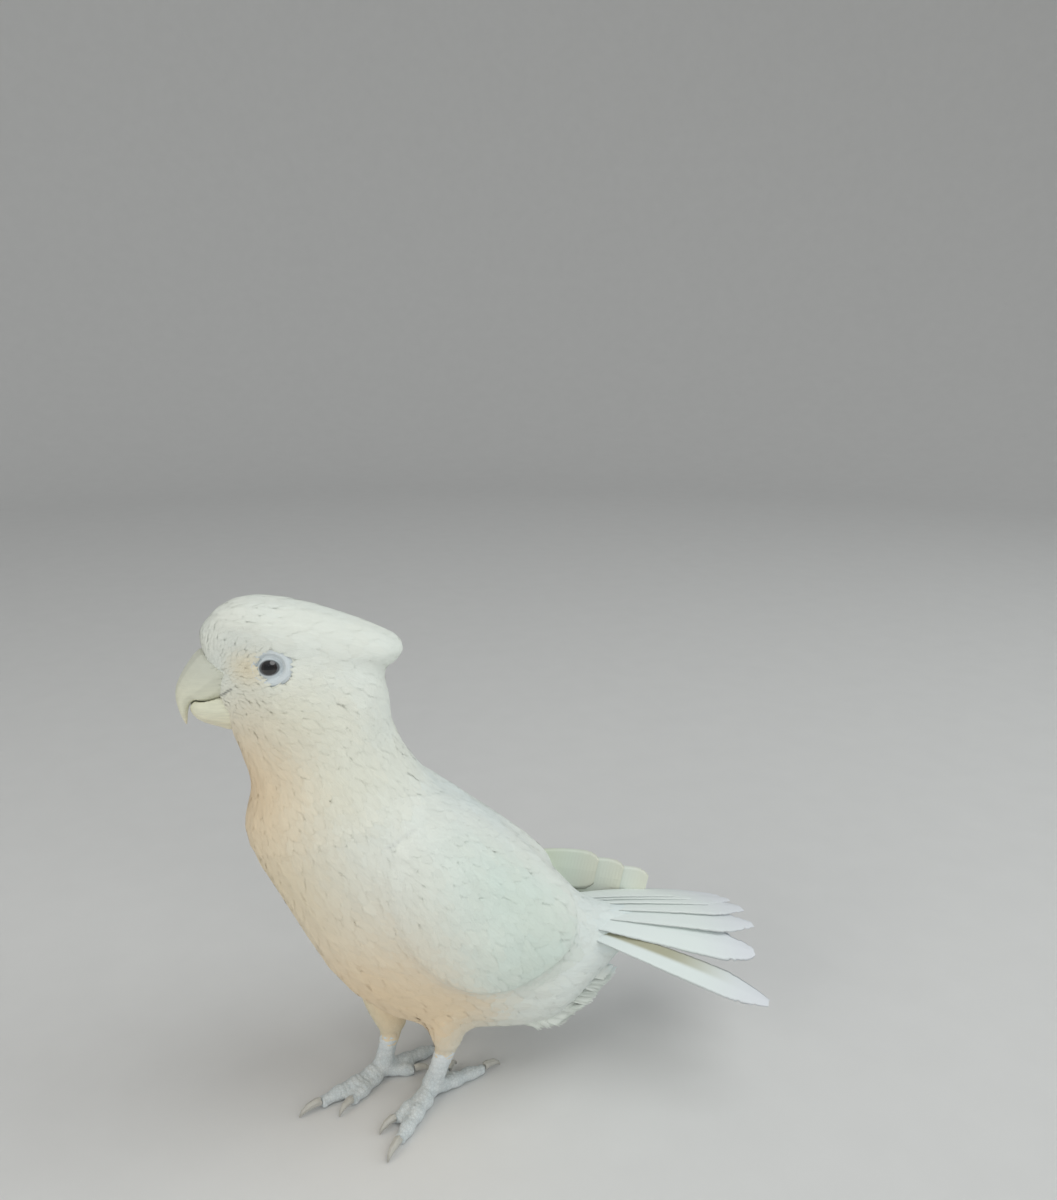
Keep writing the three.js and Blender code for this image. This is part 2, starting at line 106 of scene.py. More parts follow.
def make_camera():
    """The photo's view of the bird, from its left and a little above."""
    data = bpy.data.cameras.new("camera")
    data.lens = LENS_MM
    data.sensor_width = SENSOR_MM
    data.clip_start = 0.01
    camera = bpy.data.objects.new("camera", data)
    camera.location = EYE["left"] + CAMERA_FROM_EYE
    camera.rotation_euler = CAMERA_LOOK.to_track_quat("-Z", "Y").to_euler()
    bpy.context.scene.collection.objects.link(camera)
    bpy.context.scene.camera = camera


def make_lights():
    """Soft studio lights aimed at the middle of the bird, and a pale world."""
    target = centre("trunk")
    for name, light in LIGHTS.items():
        data = bpy.data.lights.new(name, "AREA")
        data.shape = "DISK"
        data.size = light["size"]
        data.energy = light["power"]
        data.color = light["colour"]
        lamp = bpy.data.objects.new(name, data)
        lamp.location = target + np.array(light["at"])
        lamp.rotation_euler = Vector(light["at"]).to_track_quat("Z", "Y").to_euler()
        # The eyes then show one highlight.
        lamp.visible_glossy = name == "key"
        bpy.context.scene.collection.objects.link(lamp)
    world = bpy.data.worlds.new("studio")
    world.use_nodes = True
    background = world.node_tree.nodes["Background"]
    background.inputs["Color"].default_value = (*WORLD_COLOUR, 1)
    background.inputs["Strength"].default_value = WORLD_STRENGTH
    bpy.context.scene.world = world
    bpy.context.scene.view_settings.view_transform = "Standard"


# ---------- materials ----------
class Graph:
    """Short calls for building one material's node tree."""

    def __init__(self, name):
        self.material = bpy.data.materials.new(name)
        self.material.use_nodes = True
        self.tree = self.material.node_tree
        self.shader = self.tree.nodes["Principled BSDF"]

    def node(self, kind, inputs=(), **settings):
        """A node with its settings; inputs are (socket, value or output socket)."""
        made = self.tree.nodes.new(kind)
        for key, value in settings.items():
            setattr(made, key, value)
        for socket, value in inputs:
            self.feed(made.inputs[socket], value)
        return made

    def feed(self, socket, value):
        """Links an output to a socket, or sets the socket's value."""
        if isinstance(value, bpy.types.NodeSocket):
            self.tree.links.new(value, socket)
        else:
            socket.default_value = value

    def math(self, operation, *values):
        """One Math node on numbers or sockets."""
        return self.node("ShaderNodeMath", list(enumerate(values)), operation=operation).outputs[0]

    def vector(self, operation, *values):
        """One Vector Math node's vector, on vectors or sockets."""
        return self.node("ShaderNodeVectorMath", list(enumerate(values)), operation=operation).outputs[0]

    def split(self, vector):
        """The x, y and z of a vector."""
        return self.node("ShaderNodeSeparateXYZ", [(0, vector)]).outputs

    def fade(self, value, near, far):
        """1 where value is near, 0 where it is far, in between on a curve."""
        inputs = [("Value", value), ("From Min", near), ("From Max", far), ("To Min", 1.0), ("To Max", 0.0)]
        return self.node("ShaderNodeMapRange", inputs, interpolation_type="SMOOTHSTEP").outputs["Result"]

    def mix(self, factor, first, second, blend="MIX"):
        """A mix of two colours."""
        made = self.node("ShaderNodeMix", data_type="RGBA", blend_type=blend)
        self.feed(made.inputs["Factor"], factor)
        for socket, value in (("A", first), ("B", second)):
            target = next(s for s in made.inputs if s.name == socket and s.type == "RGBA")
            self.feed(target, (*value, 1) if isinstance(value, tuple) else value)
        return next(s for s in made.outputs if s.type == "RGBA")

    def tinge(self, colour, other, share, weight):
        """A colour moved towards another by a share from 0 to 1 times a weight."""
        return self.mix(self.math("MULTIPLY", share, weight), colour, other)

    def noise(self, vector, scale, detail=3.0, rough=0.5):
        """Noise from 0 to 1."""
        inputs = [("Vector", vector), ("Scale", scale), ("Detail", detail), ("Roughness", rough)]
        return self.node("ShaderNodeTexNoise", inputs).outputs["Fac"]

    def attribute(self, name, output="Vector"):
        """A mesh attribute."""
        return self.node("ShaderNodeAttribute", attribute_name=name).outputs[output]

    def place(self):
        """Where the surface is, in metres in the object's own frame."""
        return self.node("ShaderNodeTexCoord").outputs["Object"]

    def bump(self, height, distance, strength=0.6, normal=None):
        """A bump of so many metres, added to another."""
        inputs = [("Height", height), ("Distance", distance), ("Strength", strength)]
        made = self.node("ShaderNodeBump", inputs)
        if normal is not None:
            self.feed(made.inputs["Normal"], normal)
        return made.outputs["Normal"]

    def finish(self, **values):
        """Sets the shader's sockets by name and gives the material."""
        for name, value in values.items():
            socket = self.shader.inputs[name.replace("_", " ")]
            self.feed(socket, (*value, 1) if isinstance(value, tuple) and socket.type == "RGBA" else value)
        return self.material


WHITE = (0.800, 0.840, 0.785)
CREAM = (0.790, 0.775, 0.640)
PEACH = (0.790, 0.700, 0.500)
# Tan and warm below: partly the plumage's own tone, partly painted warm shade and bounce light; warm also
# tints the dust.
TAN_TONE_AND_SHADE = (0.830, 0.665, 0.455)
WARM_DUST_AND_SHADE = (0.810, 0.695, 0.495)
# The cool colour below is painted cool daylight on the back and rump.
COOL_DAYLIGHT = (0.780, 0.870, 0.880)
GREENISH = (0.700, 0.800, 0.735)
LILAC = (0.740, 0.750, 0.820)
LEMON = (0.800, 0.840, 0.660)
STRAW = (0.430, 0.415, 0.280)
GREY_FEET = (0.620, 0.680, 0.700)
GREY_PALE = (0.780, 0.815, 0.820)
GREY_HIGH = (0.860, 0.900, 0.920)
GREY_DARK = (0.420, 0.435, 0.440)
# The mouth's colour below is painted shade: the dark slit of the mouth carried on over the face.
MOUTH_SHADE = (0.160, 0.165, 0.160)


def spot(graph, place, middle, radii):
    """1 at a point, falling to 0 at its radii along x, y and z."""
    scaled = graph.vector("MULTIPLY", graph.vector("SUBTRACT", place, tuple(middle)), tuple(1 / radii))
    length = graph.node("ShaderNodeVectorMath", [(0, scaled)], operation="LENGTH").outputs["Value"]
    return graph.fade(length, 0.0, 1.0)


# The plumage's colours on the bird's middle plane: shade and weight, where each lies along y and z as
# (node, share of its box, mm on from there), and its reach in mm along x, y and z. The cool marks are
# painted cool daylight on the rump and back; the warm and tan marks are partly the plumage's own warm tone
# and partly painted warm shade and bounce light on the throat, breast, belly and flanks; the cream marks
# are the plumage's own tone.
MARKS_AND_PAINTED_LIGHT = (
    (COOL_DAYLIGHT, 1.0, ("trunk", 1, -14), ("trunk", 0, 34), (60, 80, 62)),
    (COOL_DAYLIGHT, 0.7, ("trunk", 0.5, -14), ("trunk", 1, -26), (34, 52, 52)),
    (CREAM, 1.0, ("eye_left", 0.5, 4), ("eye_left", 0.5, -18), (60, 38, 26)),
    (CREAM, 0.9, ("head", 1, -26), ("neck", 0, 36), (70, 44, 34)),
    (WARM_DUST_AND_SHADE, 1.0, ("trunk", 0, 2), ("trunk", 1, -32), (90, 56, 74)),
    (TAN_TONE_AND_SHADE, 1.0, ("trunk", 0, 0), ("trunk", 1, 8), (60, 34, 44)),
    (TAN_TONE_AND_SHADE, 1.0, ("thigh_right", 0.5, -4), ("trunk", 0, 14), (95, 54, 66)),
    (TAN_TONE_AND_SHADE, 0.8, ("thigh_right", 0.5, 12), ("trunk", 0, 28), (95, 34, 30)),
    (TAN_TONE_AND_SHADE, 1.0, ("thigh_right", 0.5, -12), ("trunk", 0, 40), (110, 60, 72)),
)
# At the middle of the far thigh.
THIGH_MARK = (LEMON, 0.9, (17, 24, 32))
# On each wing: its place in mm outwards, back and up from the wing's middle.
WING_MARKS = ((GREENISH, 1.0, (14, 9, 9), (24, 52, 56)), (GREENISH, 1.0, (14, 11, -22), (24, 38, 32)))
# Between each eye and the bill.
LORE_MARK = (PEACH, 0.8, (12, 11, 9))
# The mouth's dark slit runs on over the face as painted shade, in short steps: its start in mm from the
# back and the foot of the upper bill, each step back and up, and its reach in mm.
MOUTH_SHADE_LINE = {"steps": 6, "start": (-2.4, 12.6), "step": (0.9, 0.68), "reach": (7, 1.1, 0.75), "weight": 0.8}
# The shade in the crease in front of each wing's wrist.
CREASE_SHADE = {"steps": 9, "out": 36, "reach": (14, 2.6, 1.3), "weight": 0.14}
# How strongly a faint uneven warmth shows.
DUST = 0.06


def plane_marks_and_light():
    """Marks, painted cool light and painted warm shade that each feather takes from its root's place: shade,
    weight, middle and reach in mm.
    """
    marks = [(shade, weight, (MIDDLE_X, place_in(y[0], Y, *y[1:]), place_in(z[0], Z, *z[1:])), reach)
             for shade, weight, y, z, reach in MARKS_AND_PAINTED_LIGHT]
    shade, weight, reach = THIGH_MARK
    marks.append((shade, weight, centre("thigh_right"), reach))
    lore = ((EYE["left"][Y] + place_in("bill_upper", Y, 1)) / 2 - 1 * MM, EYE["left"][Z] - 1 * MM)
    for side, out in SIDES.items():
        for shade, weight, at, reach in WING_MARKS:
            marks.append((shade, weight, centre(f"wing_{side}") + np.array((out, 1, 1)) * at * MM, reach))
        shade, weight, reach = LORE_MARK
        marks.append((shade, weight, (MIDDLE_X + out * 10 * MM, *lore), reach))
    return marks


def painted_shade_lines():
    """The fine dark lines of painted shade that cross feathers: the mouth's slit and the shade in the wings'
    creases.
    """
    lines = []
    start, step = np.array(MOUTH_SHADE_LINE["start"]), np.array(MOUTH_SHADE_LINE["step"])
    foot = np.array((place_in("bill_upper", Y, 1), place_in("bill_upper", Z, 0)))
    for out in SIDES.values():
        for number in range(MOUTH_SHADE_LINE["steps"]):
            at = foot + (start + number * step) * MM
            lines.append((MOUTH_SHADE, MOUTH_SHADE_LINE["weight"], (MIDDLE_X + out * 10 * MM, *at), MOUTH_SHADE_LINE["reach"]))
    start, run = crease_line()
    for share in np.linspace(0, 1, CREASE_SHADE["steps"]):
        for out in SIDES.values():
            at = (MIDDLE_X + out * CREASE_SHADE["out"] * MM, *(start + run * share))
            lines.append((GREY_DARK, CREASE_SHADE["weight"], at, CREASE_SHADE["reach"]))
    return lines


def markings_and_painted_light(graph, place):
    """The bird's colours and painted light and shade by place, the same for skin and coat, where place is
    that of a feather's root.
    """
    colour = WHITE
    for shade, weight, middle, reach in plane_marks_and_light():
        colour = graph.tinge(colour, shade, spot(graph, place, middle, np.array(reach) * MM), weight)
    dust = graph.fade(graph.noise(place, 90.0, 4.0), 0.62, 0.38)
    colour = graph.tinge(colour, WARM_DUST_AND_SHADE, dust, DUST)
    own_place = graph.place()
    for shade, weight, middle, reach in painted_shade_lines():
        colour = graph.tinge(colour, shade, spot(graph, own_place, middle, np.array(reach) * MM), weight)
    return colour


# Across a feather's vane: how many barbs show as relief, how sharp its shaft is, and the relief's height.
BARBS = 28.0
SHAFT_SHARPNESS = 24.0
VANE_RELIEF = 0.04 * MM


def plumage_material(name, wash=None, tip=None, inner=None):
    """Feathers: marks and painted light and shade by root, a tint, a wash, a tip and an inner vane in
    colours, and barbs as relief.
    """
    graph = Graph(name)
    colour = markings_and_painted_light(graph, graph.attribute("root"))
    vane = graph.node("ShaderNodeUVMap", uv_map="vane").outputs[0]
    across, out = graph.split(vane)[:2]
    if wash is not None:
        colour = graph.tinge(colour, wash, graph.fade(out, 0.2, 1.0), 0.7)
    if tip is not None:
        colour = graph.tinge(colour, tip, graph.fade(out, 0.98, 0.60), 0.7)
    if inner is not None:
        half = graph.math("MULTIPLY", graph.fade(across, 0.25, -0.15), graph.fade(out, 0.45, 0.85))
        colour = graph.tinge(colour, inner, half, 0.9)
    tint = graph.attribute("tint", "Fac")
    shade = graph.node("ShaderNodeCombineColor", list(enumerate([tint] * 3))).outputs[0]
    colour = graph.mix(1.0, colour, shade, "MULTIPLY")
    barbs = graph.math("SINE", graph.math("MULTIPLY", out, BARBS * 2 * math.pi))
    middle = graph.math("SUBTRACT", 1.0, graph.math("ABSOLUTE", across))
    shaft = graph.math("POWER", middle, SHAFT_SHARPNESS)
    height = graph.math("ADD", graph.math("MULTIPLY", barbs, 0.5), graph.math("MULTIPLY", shaft, 1.5))
    return graph.finish(Base_Color=colour, Roughness=0.8, Normal=graph.bump(height, VANE_RELIEF),
                        Sheen_Weight=0.12, Sheen_Roughness=0.5, Specular_IOR_Level=0.2)


# How many scales there are in a metre of the feet's skin.
SCALE_CELLS = 800.0
RING_DARK, RING_PALE = (0.60, 0.660, 0.690), (0.68, 0.730, 0.750)
LID_DARK = (0.060, 0.065, 0.070)


def skin_material():
    """The skin under the coat, the scaly feet, greyer near the floor, and the bare ring round each eye."""
    graph = Graph("skin")
    place = graph.place()
    feet = graph.attribute("bare", "Fac")
    inputs = [("Vector", place), ("Scale", SCALE_CELLS), ("Randomness", 0.8)]
    cells = graph.node("ShaderNodeTexVoronoi", inputs, feature="DISTANCE_TO_EDGE").outputs["Distance"]
    dusty = graph.fade(graph.noise(place, 260.0, 5.0, 0.6), 0.68, 0.34)
    grey = graph.tinge(GREY_FEET, GREY_PALE, dusty, 0.6)
    grey = graph.tinge(grey, GREY_DARK, graph.fade(cells, 0.02, 0.16), 0.3)
    grey = graph.tinge(grey, GREY_HIGH, graph.fade(graph.split(place)[Z], 26 * MM, 9 * MM), 0.7)
    colour = graph.mix(feet, markings_and_painted_light(graph, place), grey)
    pores = graph.noise(place, 900.0, 3.0)
    colour = graph.mix(graph.attribute("ring", "Fac"), colour, graph.mix(pores, RING_DARK, RING_PALE))
    colour = graph.tinge(colour, LID_DARK, graph.attribute("rim", "Fac"), 0.9)
    cracks = graph.bump(graph.math("MULTIPLY", graph.fade(cells, 0.22, 0.0), feet), 0.12 * MM)
    return graph.finish(Base_Color=colour, Roughness=0.62, Normal=graph.bump(pores, 0.05 * MM, normal=cracks),
                        Specular_IOR_Level=0.35)


HORN_DARK, HORN_PALE = (0.60, 0.62, 0.54), (0.80, 0.80, 0.64)
HORN_TIP, HORN_LINE = (0.84, 0.76, 0.56), (0.54, 0.55, 0.46)
# Stretches the noise of the bill's growth lines: fine from foot to top, long from front to back.
GROWTH = (260.0, 120.0, 1500.0)


def horn_material():
    """The bill: pale horn, yellower to the tip, with growth lines and scuffs."""
    graph = Graph("bill_horn")
    place = graph.place()
    height = graph.split(place)[Z]
    foot, top = float(place_in("bill_upper", Z, 0)), float(place_in("bill_upper", Z, 1))
    colour = graph.mix(graph.fade(height, foot + 6 * MM, top - 3 * MM), HORN_DARK, HORN_PALE)
    colour = graph.tinge(colour, HORN_TIP, graph.fade(height, foot, foot + 8 * MM), 0.6)
    lines = graph.noise(graph.vector("MULTIPLY", place, GROWTH), 1.0, 4.0, 0.6)
    colour = graph.tinge(colour, HORN_LINE, graph.fade(lines, 0.66, 0.36), 0.25)
    flakes = graph.noise(place, 420.0, 5.0, 0.65)
    rough = graph.math("ADD", 0.30, graph.math("MULTIPLY", flakes, 0.25))
    relief = graph.math("ADD", graph.math("MULTIPLY", lines, 0.7), graph.math("MULTIPLY", flakes, 0.5))
    return graph.finish(Base_Color=colour, Roughness=rough, Normal=graph.bump(relief, 0.12 * MM),
                        Specular_IOR_Level=0.5)


CLAW_PALE, CLAW_DARK, CLAW_STREAK = (0.50, 0.49, 0.45), (0.34, 0.33, 0.30), (0.58, 0.57, 0.52)


def claw_material():
    """Claws: greyish horn with paler streaks, darker to the point."""
    graph = Graph("claw_horn")
    place = graph.place()
    streaks = graph.noise(place, 700.0, 4.0, 0.6)
    colour = graph.mix(graph.fade(graph.split(place)[Z], 0.6 * MM, 4.0 * MM), CLAW_PALE, CLAW_DARK)
    colour = graph.tinge(colour, CLAW_STREAK, streaks, 0.5)
    return graph.finish(Base_Color=colour, Roughness=0.34, Normal=graph.bump(streaks, 0.06 * MM, 0.5))


IRIS_DARK, IRIS_PALE = (0.006, 0.005, 0.006), (0.020, 0.014, 0.013)
PUPIL, EYE_BACK = (0.002, 0.002, 0.003), (0.05, 0.04, 0.04)


def eye_material():
    """A dark brown iris round a black pupil, under a clear wet coat."""
    graph = Graph("eye")
    turn, out, _ = graph.split(graph.attribute("polar"))
    inputs = [(0, graph.math("MULTIPLY", turn, 30.0)), (1, out)]
    streaks = graph.node("ShaderNodeCombineXYZ", inputs).outputs[0]
    colour = graph.mix(graph.noise(streaks, 3.0, 4.0), IRIS_DARK, IRIS_PALE)
    colour = graph.mix(graph.fade(out, 0.36, 0.44), colour, PUPIL)
    colour = graph.mix(graph.fade(out, 1.2, 1.0), colour, EYE_BACK)
    return graph.finish(Base_Color=colour, Roughness=0.12, Coat_Weight=1.0, Coat_Roughness=0.02,
                        Specular_IOR_Level=0.5)


FLOOR_DARK, FLOOR_PALE = (0.70, 0.70, 0.695), (0.74, 0.74, 0.735)


def floor_material():
    """A plain pale floor with a faint grain."""
    graph = Graph("floor")
    grain = graph.noise(graph.place(), 40.0, 5.0)
    return graph.finish(Base_Color=graph.mix(grain, FLOOR_DARK, FLOOR_PALE), Roughness=0.6,
                        Normal=graph.bump(grain, 0.2 * MM, 0.3))


# ---------- mesh helpers ----------
def new_object(name, points, faces, material):
    """A smooth-shaded mesh object from arrays; all its faces have the same number of corners."""
    mesh = bpy.data.meshes.new(name)
    mesh.vertices.add(len(points))
    mesh.vertices.foreach_set("co", np.ascontiguousarray(points, np.float32).ravel())
    mesh.loops.add(faces.size)
    mesh.loops.foreach_set("vertex_index", np.ascontiguousarray(faces, np.int32).ravel())
    mesh.polygons.add(len(faces))
    mesh.polygons.foreach_set("loop_start", np.arange(len(faces), dtype=np.int32) * faces.shape[1])
    mesh.polygons.foreach_set("use_smooth", np.ones(len(faces), bool))
    mesh.update(calc_edges=True)
    mesh.materials.append(material)
    made = bpy.data.objects.new(name, mesh)
    bpy.context.scene.collection.objects.link(made)
    return made


def add_attribute(thing, name, kind, values):
    """A value or vector for each vertex."""
    made = thing.data.attributes.new(name, kind, "POINT")
    key = "vector" if kind == "FLOAT_VECTOR" else "value"
    made.data.foreach_set(key, np.ascontiguousarray(values, np.float32).ravel())


def add_uv(thing, name, values):
    """A UV map from one pair for each vertex."""
    mesh = thing.data
    corners = np.empty(len(mesh.loops), np.int32)
    mesh.loops.foreach_get("vertex_index", corners)
    layer = mesh.uv_layers.new(name=name)
    layer.data.foreach_set("uv", np.ascontiguousarray(values[corners], np.float32).ravel())


def arrays(mesh):
    """Points, vertex normals and quads of a mesh whose faces are all quads."""
    points = np.empty(len(mesh.vertices) * 3, np.float32)
    mesh.vertices.foreach_get("co", points)
    normals = np.empty(len(mesh.vertices) * 3, np.float32)
    mesh.vertices.foreach_get("normal", normals)
    corners = np.empty(len(mesh.loops), np.int32)
    mesh.loops.foreach_get("vertex_index", corners)
    return points.reshape(-1, 3).astype(float), normals.reshape(-1, 3).astype(float), corners.reshape(-1, 4)


def grid_quads(rows, wide, columns):
    """Quads of a grid with so many points in each row, from some of its columns; the last meets the first."""
    row, column = np.meshgrid(np.arange(rows), columns, indexing="ij")
    after = (column + 1) % wide
    corners = [row * wide + column, (row + 1) * wide + column, (row + 1) * wide + after, row * wide + after]
    return np.stack(corners, axis=-1).reshape(-1, 4)


def edges_of(faces):
    """Every edge once, as pairs of vertex numbers."""
    pairs = np.concatenate([faces[:, [k, (k + 1) % faces.shape[1]]] for k in range(faces.shape[1])])
    return np.unique(np.sort(pairs, axis=1), axis=0)


def around(values, edges):
    """The mean over each vertex's neighbours."""
    ends, starts = np.concatenate([edges, edges[:, ::-1]]).T
    count = np.maximum(np.bincount(ends, minlength=len(values)), 1)
    columns = [np.bincount(ends, values[starts, k], len(values)) for k in range(values.shape[1])]
    return np.stack(columns, axis=1) / count[:, None]


TAUBIN = 1.04


def relax(points, edges, rounds, strength=0.5, taubin=True):
    """Moves points towards their neighbours' mean, by one strength or each its own; taubin keeps volume."""
    strength = np.broadcast_to(strength, len(points))[:, None]
    for _ in range(rounds):
        points = points + strength * (around(points, edges) - points)
        if taubin:
            points = points - TAUBIN * strength * (around(points, edges) - points)
    return points


def normals_of(points, quads):
    """Unit vertex normals from quads."""
    across = points[quads[:, 2]] - points[quads[:, 0]]
    down = points[quads[:, 3]] - points[quads[:, 1]]
    face = np.cross(across, down)
    total = np.zeros_like(points)
    for corner in range(4):
        for axis in range(3):
            total[:, axis] += np.bincount(quads[:, corner], face[:, axis], len(points))
    return unit(total)


def unit(vectors):
    """Vectors at length one."""
    return vectors / np.maximum(np.linalg.norm(vectors, axis=-1, keepdims=True), 1e-12)


def dot(a, b):
    """Row-by-row dot product, kept as a column."""
    return (a * b).sum(-1, keepdims=True)


def smoothstep(value, low, high):
    """0 below low, 1 above high, with a smooth rise."""
    share = np.clip((value - low) / (high - low), 0, 1)
    return share * share * (3 - 2 * share)


def remeshed(nodes, voxel, swells=None):
    """One closed quad mesh round the named CAD nodes, each first swollen so that their cuts close."""
    joined = bmesh.new()
    for node in nodes:
        swell = swells[node] if swells else 0.0
        copy = bmesh.new()
        copy.from_mesh(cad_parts[node].data)
        bmesh.ops.remove_doubles(copy, verts=copy.verts, dist=0.001 * MM)
        copy.normal_update()
        for vert in copy.verts:
            vert.co += vert.normal * swell
        mesh = bpy.data.meshes.new("copy")
        copy.to_mesh(mesh)
        joined.from_mesh(mesh)
        copy.free()
        bpy.data.meshes.remove(mesh)
    mesh = bpy.data.meshes.new("joined")
    joined.to_mesh(mesh)
    joined.free()
    thing = bpy.data.objects.new("joined", mesh)
    bpy.context.scene.collection.objects.link(thing)
    modifier = thing.modifiers.new("remesh", "REMESH")
    modifier.mode = "VOXEL"
    modifier.voxel_size = voxel
    graph = bpy.context.evaluated_depsgraph_get()
    made = bpy.data.meshes.new_from_object(thing.evaluated_get(graph))
    found = arrays(made)
    bpy.data.objects.remove(thing)
    bpy.data.meshes.remove(mesh)
    bpy.data.meshes.remove(made)
    return found


class Shell:
    """A closed surface that can be asked for its nearest point."""

    def __init__(self, points, quads):
        self.points = points
        self.quads = quads
        self.normals = normals_of(points, quads)
        self.edges = edges_of(quads)
        self.tree = BVHTree.FromPolygons(points.tolist(), quads.tolist())

    def nearest(self, points):
        """Nearest surface points, their smooth normals, and the quad each lies in."""
        flat = points.reshape(-1, 3)
        found = [self.tree.find_nearest(p) for p in flat.tolist()]
        at = np.array([f[0] for f in found]).reshape(points.shape)
        quad = np.array([f[2] for f in found])
        normal = self.blended(self.normals, at.reshape(-1, 3), quad)
        return at, unit(normal).reshape(points.shape), quad.reshape(points.shape[:-1])

    def blended(self, values, at, quad):
        """Vertex values read at surface points, weighted by nearness to the quad's corners."""
        corners = self.quads[quad]
        reach = np.linalg.norm(self.points[corners] - at[:, None, :], axis=2)
        weight = 1 / (reach + 0.02 * MM) ** 2
        weight /= weight.sum(1, keepdims=True)
        return (values[corners] * weight[:, :, None]).sum(1)


# ---------- the skin and the coat's outer surface ----------
VOXEL = 1.3 * MM
SWELL = 0.4 * MM
# The wings stand off from the trunk by narrow slots, which close when both swell by this much.
WING_SWELL = 1.8 * MM
# How sharp a hollow may stay, on the body and on the edges that the plumage hides.
HOLLOW_LEFT = 0.025 * MM
SOFT_LEFT = 0.008 * MM
# How many times each thing is smoothed.
ROUNDS = {"swell": 14, "shrink": 3, "fresh": 2, "hollow": 60, "soft": 8, "body": 26, "depth": 8, "sink": 6,
          "feet": 2, "length": 6, "flow": 10}
# Smoothing fades in above the feet, between these heights.
ABOVE_FEET = (18 * MM, 32 * MM)
# The fluffy lobe under the tail: its place in the trunk's box, how far it swells, and its loose tufts with
# the way that they lean and how far. Sizes are in mm.
VENT = {"at": (0.70, 0.12), "bulge": 3.6, "reach": 15, "half": 17, "apart": 1.9, "length": 13, "slim": 0.42,
        "lean": (0, 1.0, -0.05), "share": 0.7, "from": 0.64, "to": 0.82, "below": 0.30}
# The short crease in front of each wing's wrist, in mm: its start from the wing's front and top, its run
# back and up, its depth, its width and how far it keeps from the bird's middle.
CREASE = {"start": (0.5, -14.1), "run": (10.5, 5.0), "depth": 0.6, "width": 1.6, "beside": 20}


def fill_hollows(points, quads, edges, share, left):
    """Moves points out where the surface is sharply hollow, so that grooves between parts fill."""
    for _ in range(ROUNDS["hollow"]):
        normals = normals_of(points, quads)
        pull = dot(around(points, edges) - points, normals)
        points = points + 0.7 * share[:, None] * np.maximum(pull - left, 0) * normals
    return points


def risen(points, node, axis, share, low, high):
    """0 to 1 along an axis, between two places in mm from a share of the way through a node's box."""
    return smoothstep(points[:, axis], place_in(node, axis, share, low), place_in(node, axis, share, high))


def soft_share(points):
    """1 where the plumage hides an edge beneath it: the wings' rear and lower rims, and the crest's sides."""
    rims = risen(points, "wing_left", Y, 0, 10, 30) * risen(points, "wing_left", Z, 0, -12, -2)
    crest = risen(points, "crest", Z, 0, -10, -4) * (1 - risen(points, "crest", Y, 1, -30, -16))
    return np.maximum(rims, crest)


def vent_middle():
    """The middle of the fluffy lobe under the tail."""
    back, up = VENT["at"]
    return np.array((MIDDLE_X, place_in("trunk", Y, back), place_in("trunk", Z, up)))


def crease_line():
    """Where the crease in front of each wing's wrist starts, and its run, both along y and z."""
    back, up = CREASE["start"]
    start = np.array((place_in("wing_left", Y, 0, back), place_in("wing_left", Z, 1, up)))
    return start, np.array(CREASE["run"]) * MM


def creases(points):
    """The depth of the short crease in front of each wing's wrist."""
    start, way = crease_line()
    off = points[:, 1:] - start
    share = np.clip(off @ way / (way @ way), 0, 1)
    away = np.linalg.norm(off - share[:, None] * way, axis=1)
    beside = np.abs(points[:, X] - MIDDLE_X) > CREASE["beside"] * MM
    depth = CREASE["depth"] * MM * np.sin(math.pi * (0.15 + 0.7 * share))
    return beside * depth * np.exp(-(away / (CREASE["width"] * MM)) ** 2)


def coat_surface(nodes):
    """The body's true outline as one smooth surface, from the CAD nodes."""
    swells = {node: WING_SWELL if node.startswith(("wing", "trunk")) else SWELL for node in nodes}
    points, _, quads = remeshed(nodes, VOXEL, swells)
    edges = edges_of(quads)
    swell = np.array([swells[name] for name in owners(points, nodes)])[:, None]
    for _ in range(ROUNDS["swell"]):
        swell = 0.5 * swell + 0.5 * around(swell, edges)
    for _ in range(ROUNDS["shrink"]):
        points = points - normals_of(points, quads) * swell / ROUNDS["shrink"]
    body = smoothstep(points[:, Z], *ABOVE_FEET)
    points = relax(points, edges, ROUNDS["fresh"], 0.45)
    points = fill_hollows(points, quads, edges, body, HOLLOW_LEFT)
    soft = soft_share(points)
    points = fill_hollows(points, quads, edges, soft, SOFT_LEFT)
    points = relax(points, edges, ROUNDS["soft"], 0.5 * soft, taubin=False)
    points = relax(points, edges, ROUNDS["body"], 0.5 * body)
    off = np.linalg.norm((points - vent_middle()) / np.array((1.5, 1.0, 1.0)), axis=1)
    bulge = VENT["bulge"] * MM * np.exp(-(off / (VENT["reach"] * MM)) ** 2)
    points = points + normals_of(points, quads) * (bulge - creases(points))[:, None]
    points[:, Z] = np.maximum(points[:, Z], 0)
    return Shell(points, quads)


def node_tree(nodes):
    """A search tree over CAD nodes, and the node that each of its faces belongs to."""
    points, faces, owner = [], [], []
    for number, node in enumerate(nodes):
        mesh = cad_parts[node].data
        start = len(points)
        points += [v.co[:] for v in mesh.vertices]
        faces += [[start + k for k in p.vertices] for p in mesh.polygons]
        owner += [number] * len(mesh.polygons)
    return BVHTree.FromPolygons(points, faces), np.array(owner)


# Where the face's feathers spread from, at the root of the bill.
FACE_FROM = centre("bill_upper") + np.array((0, 4, 3)) * MM
RING_RADII = np.array((7.6, 6.6)) * MM


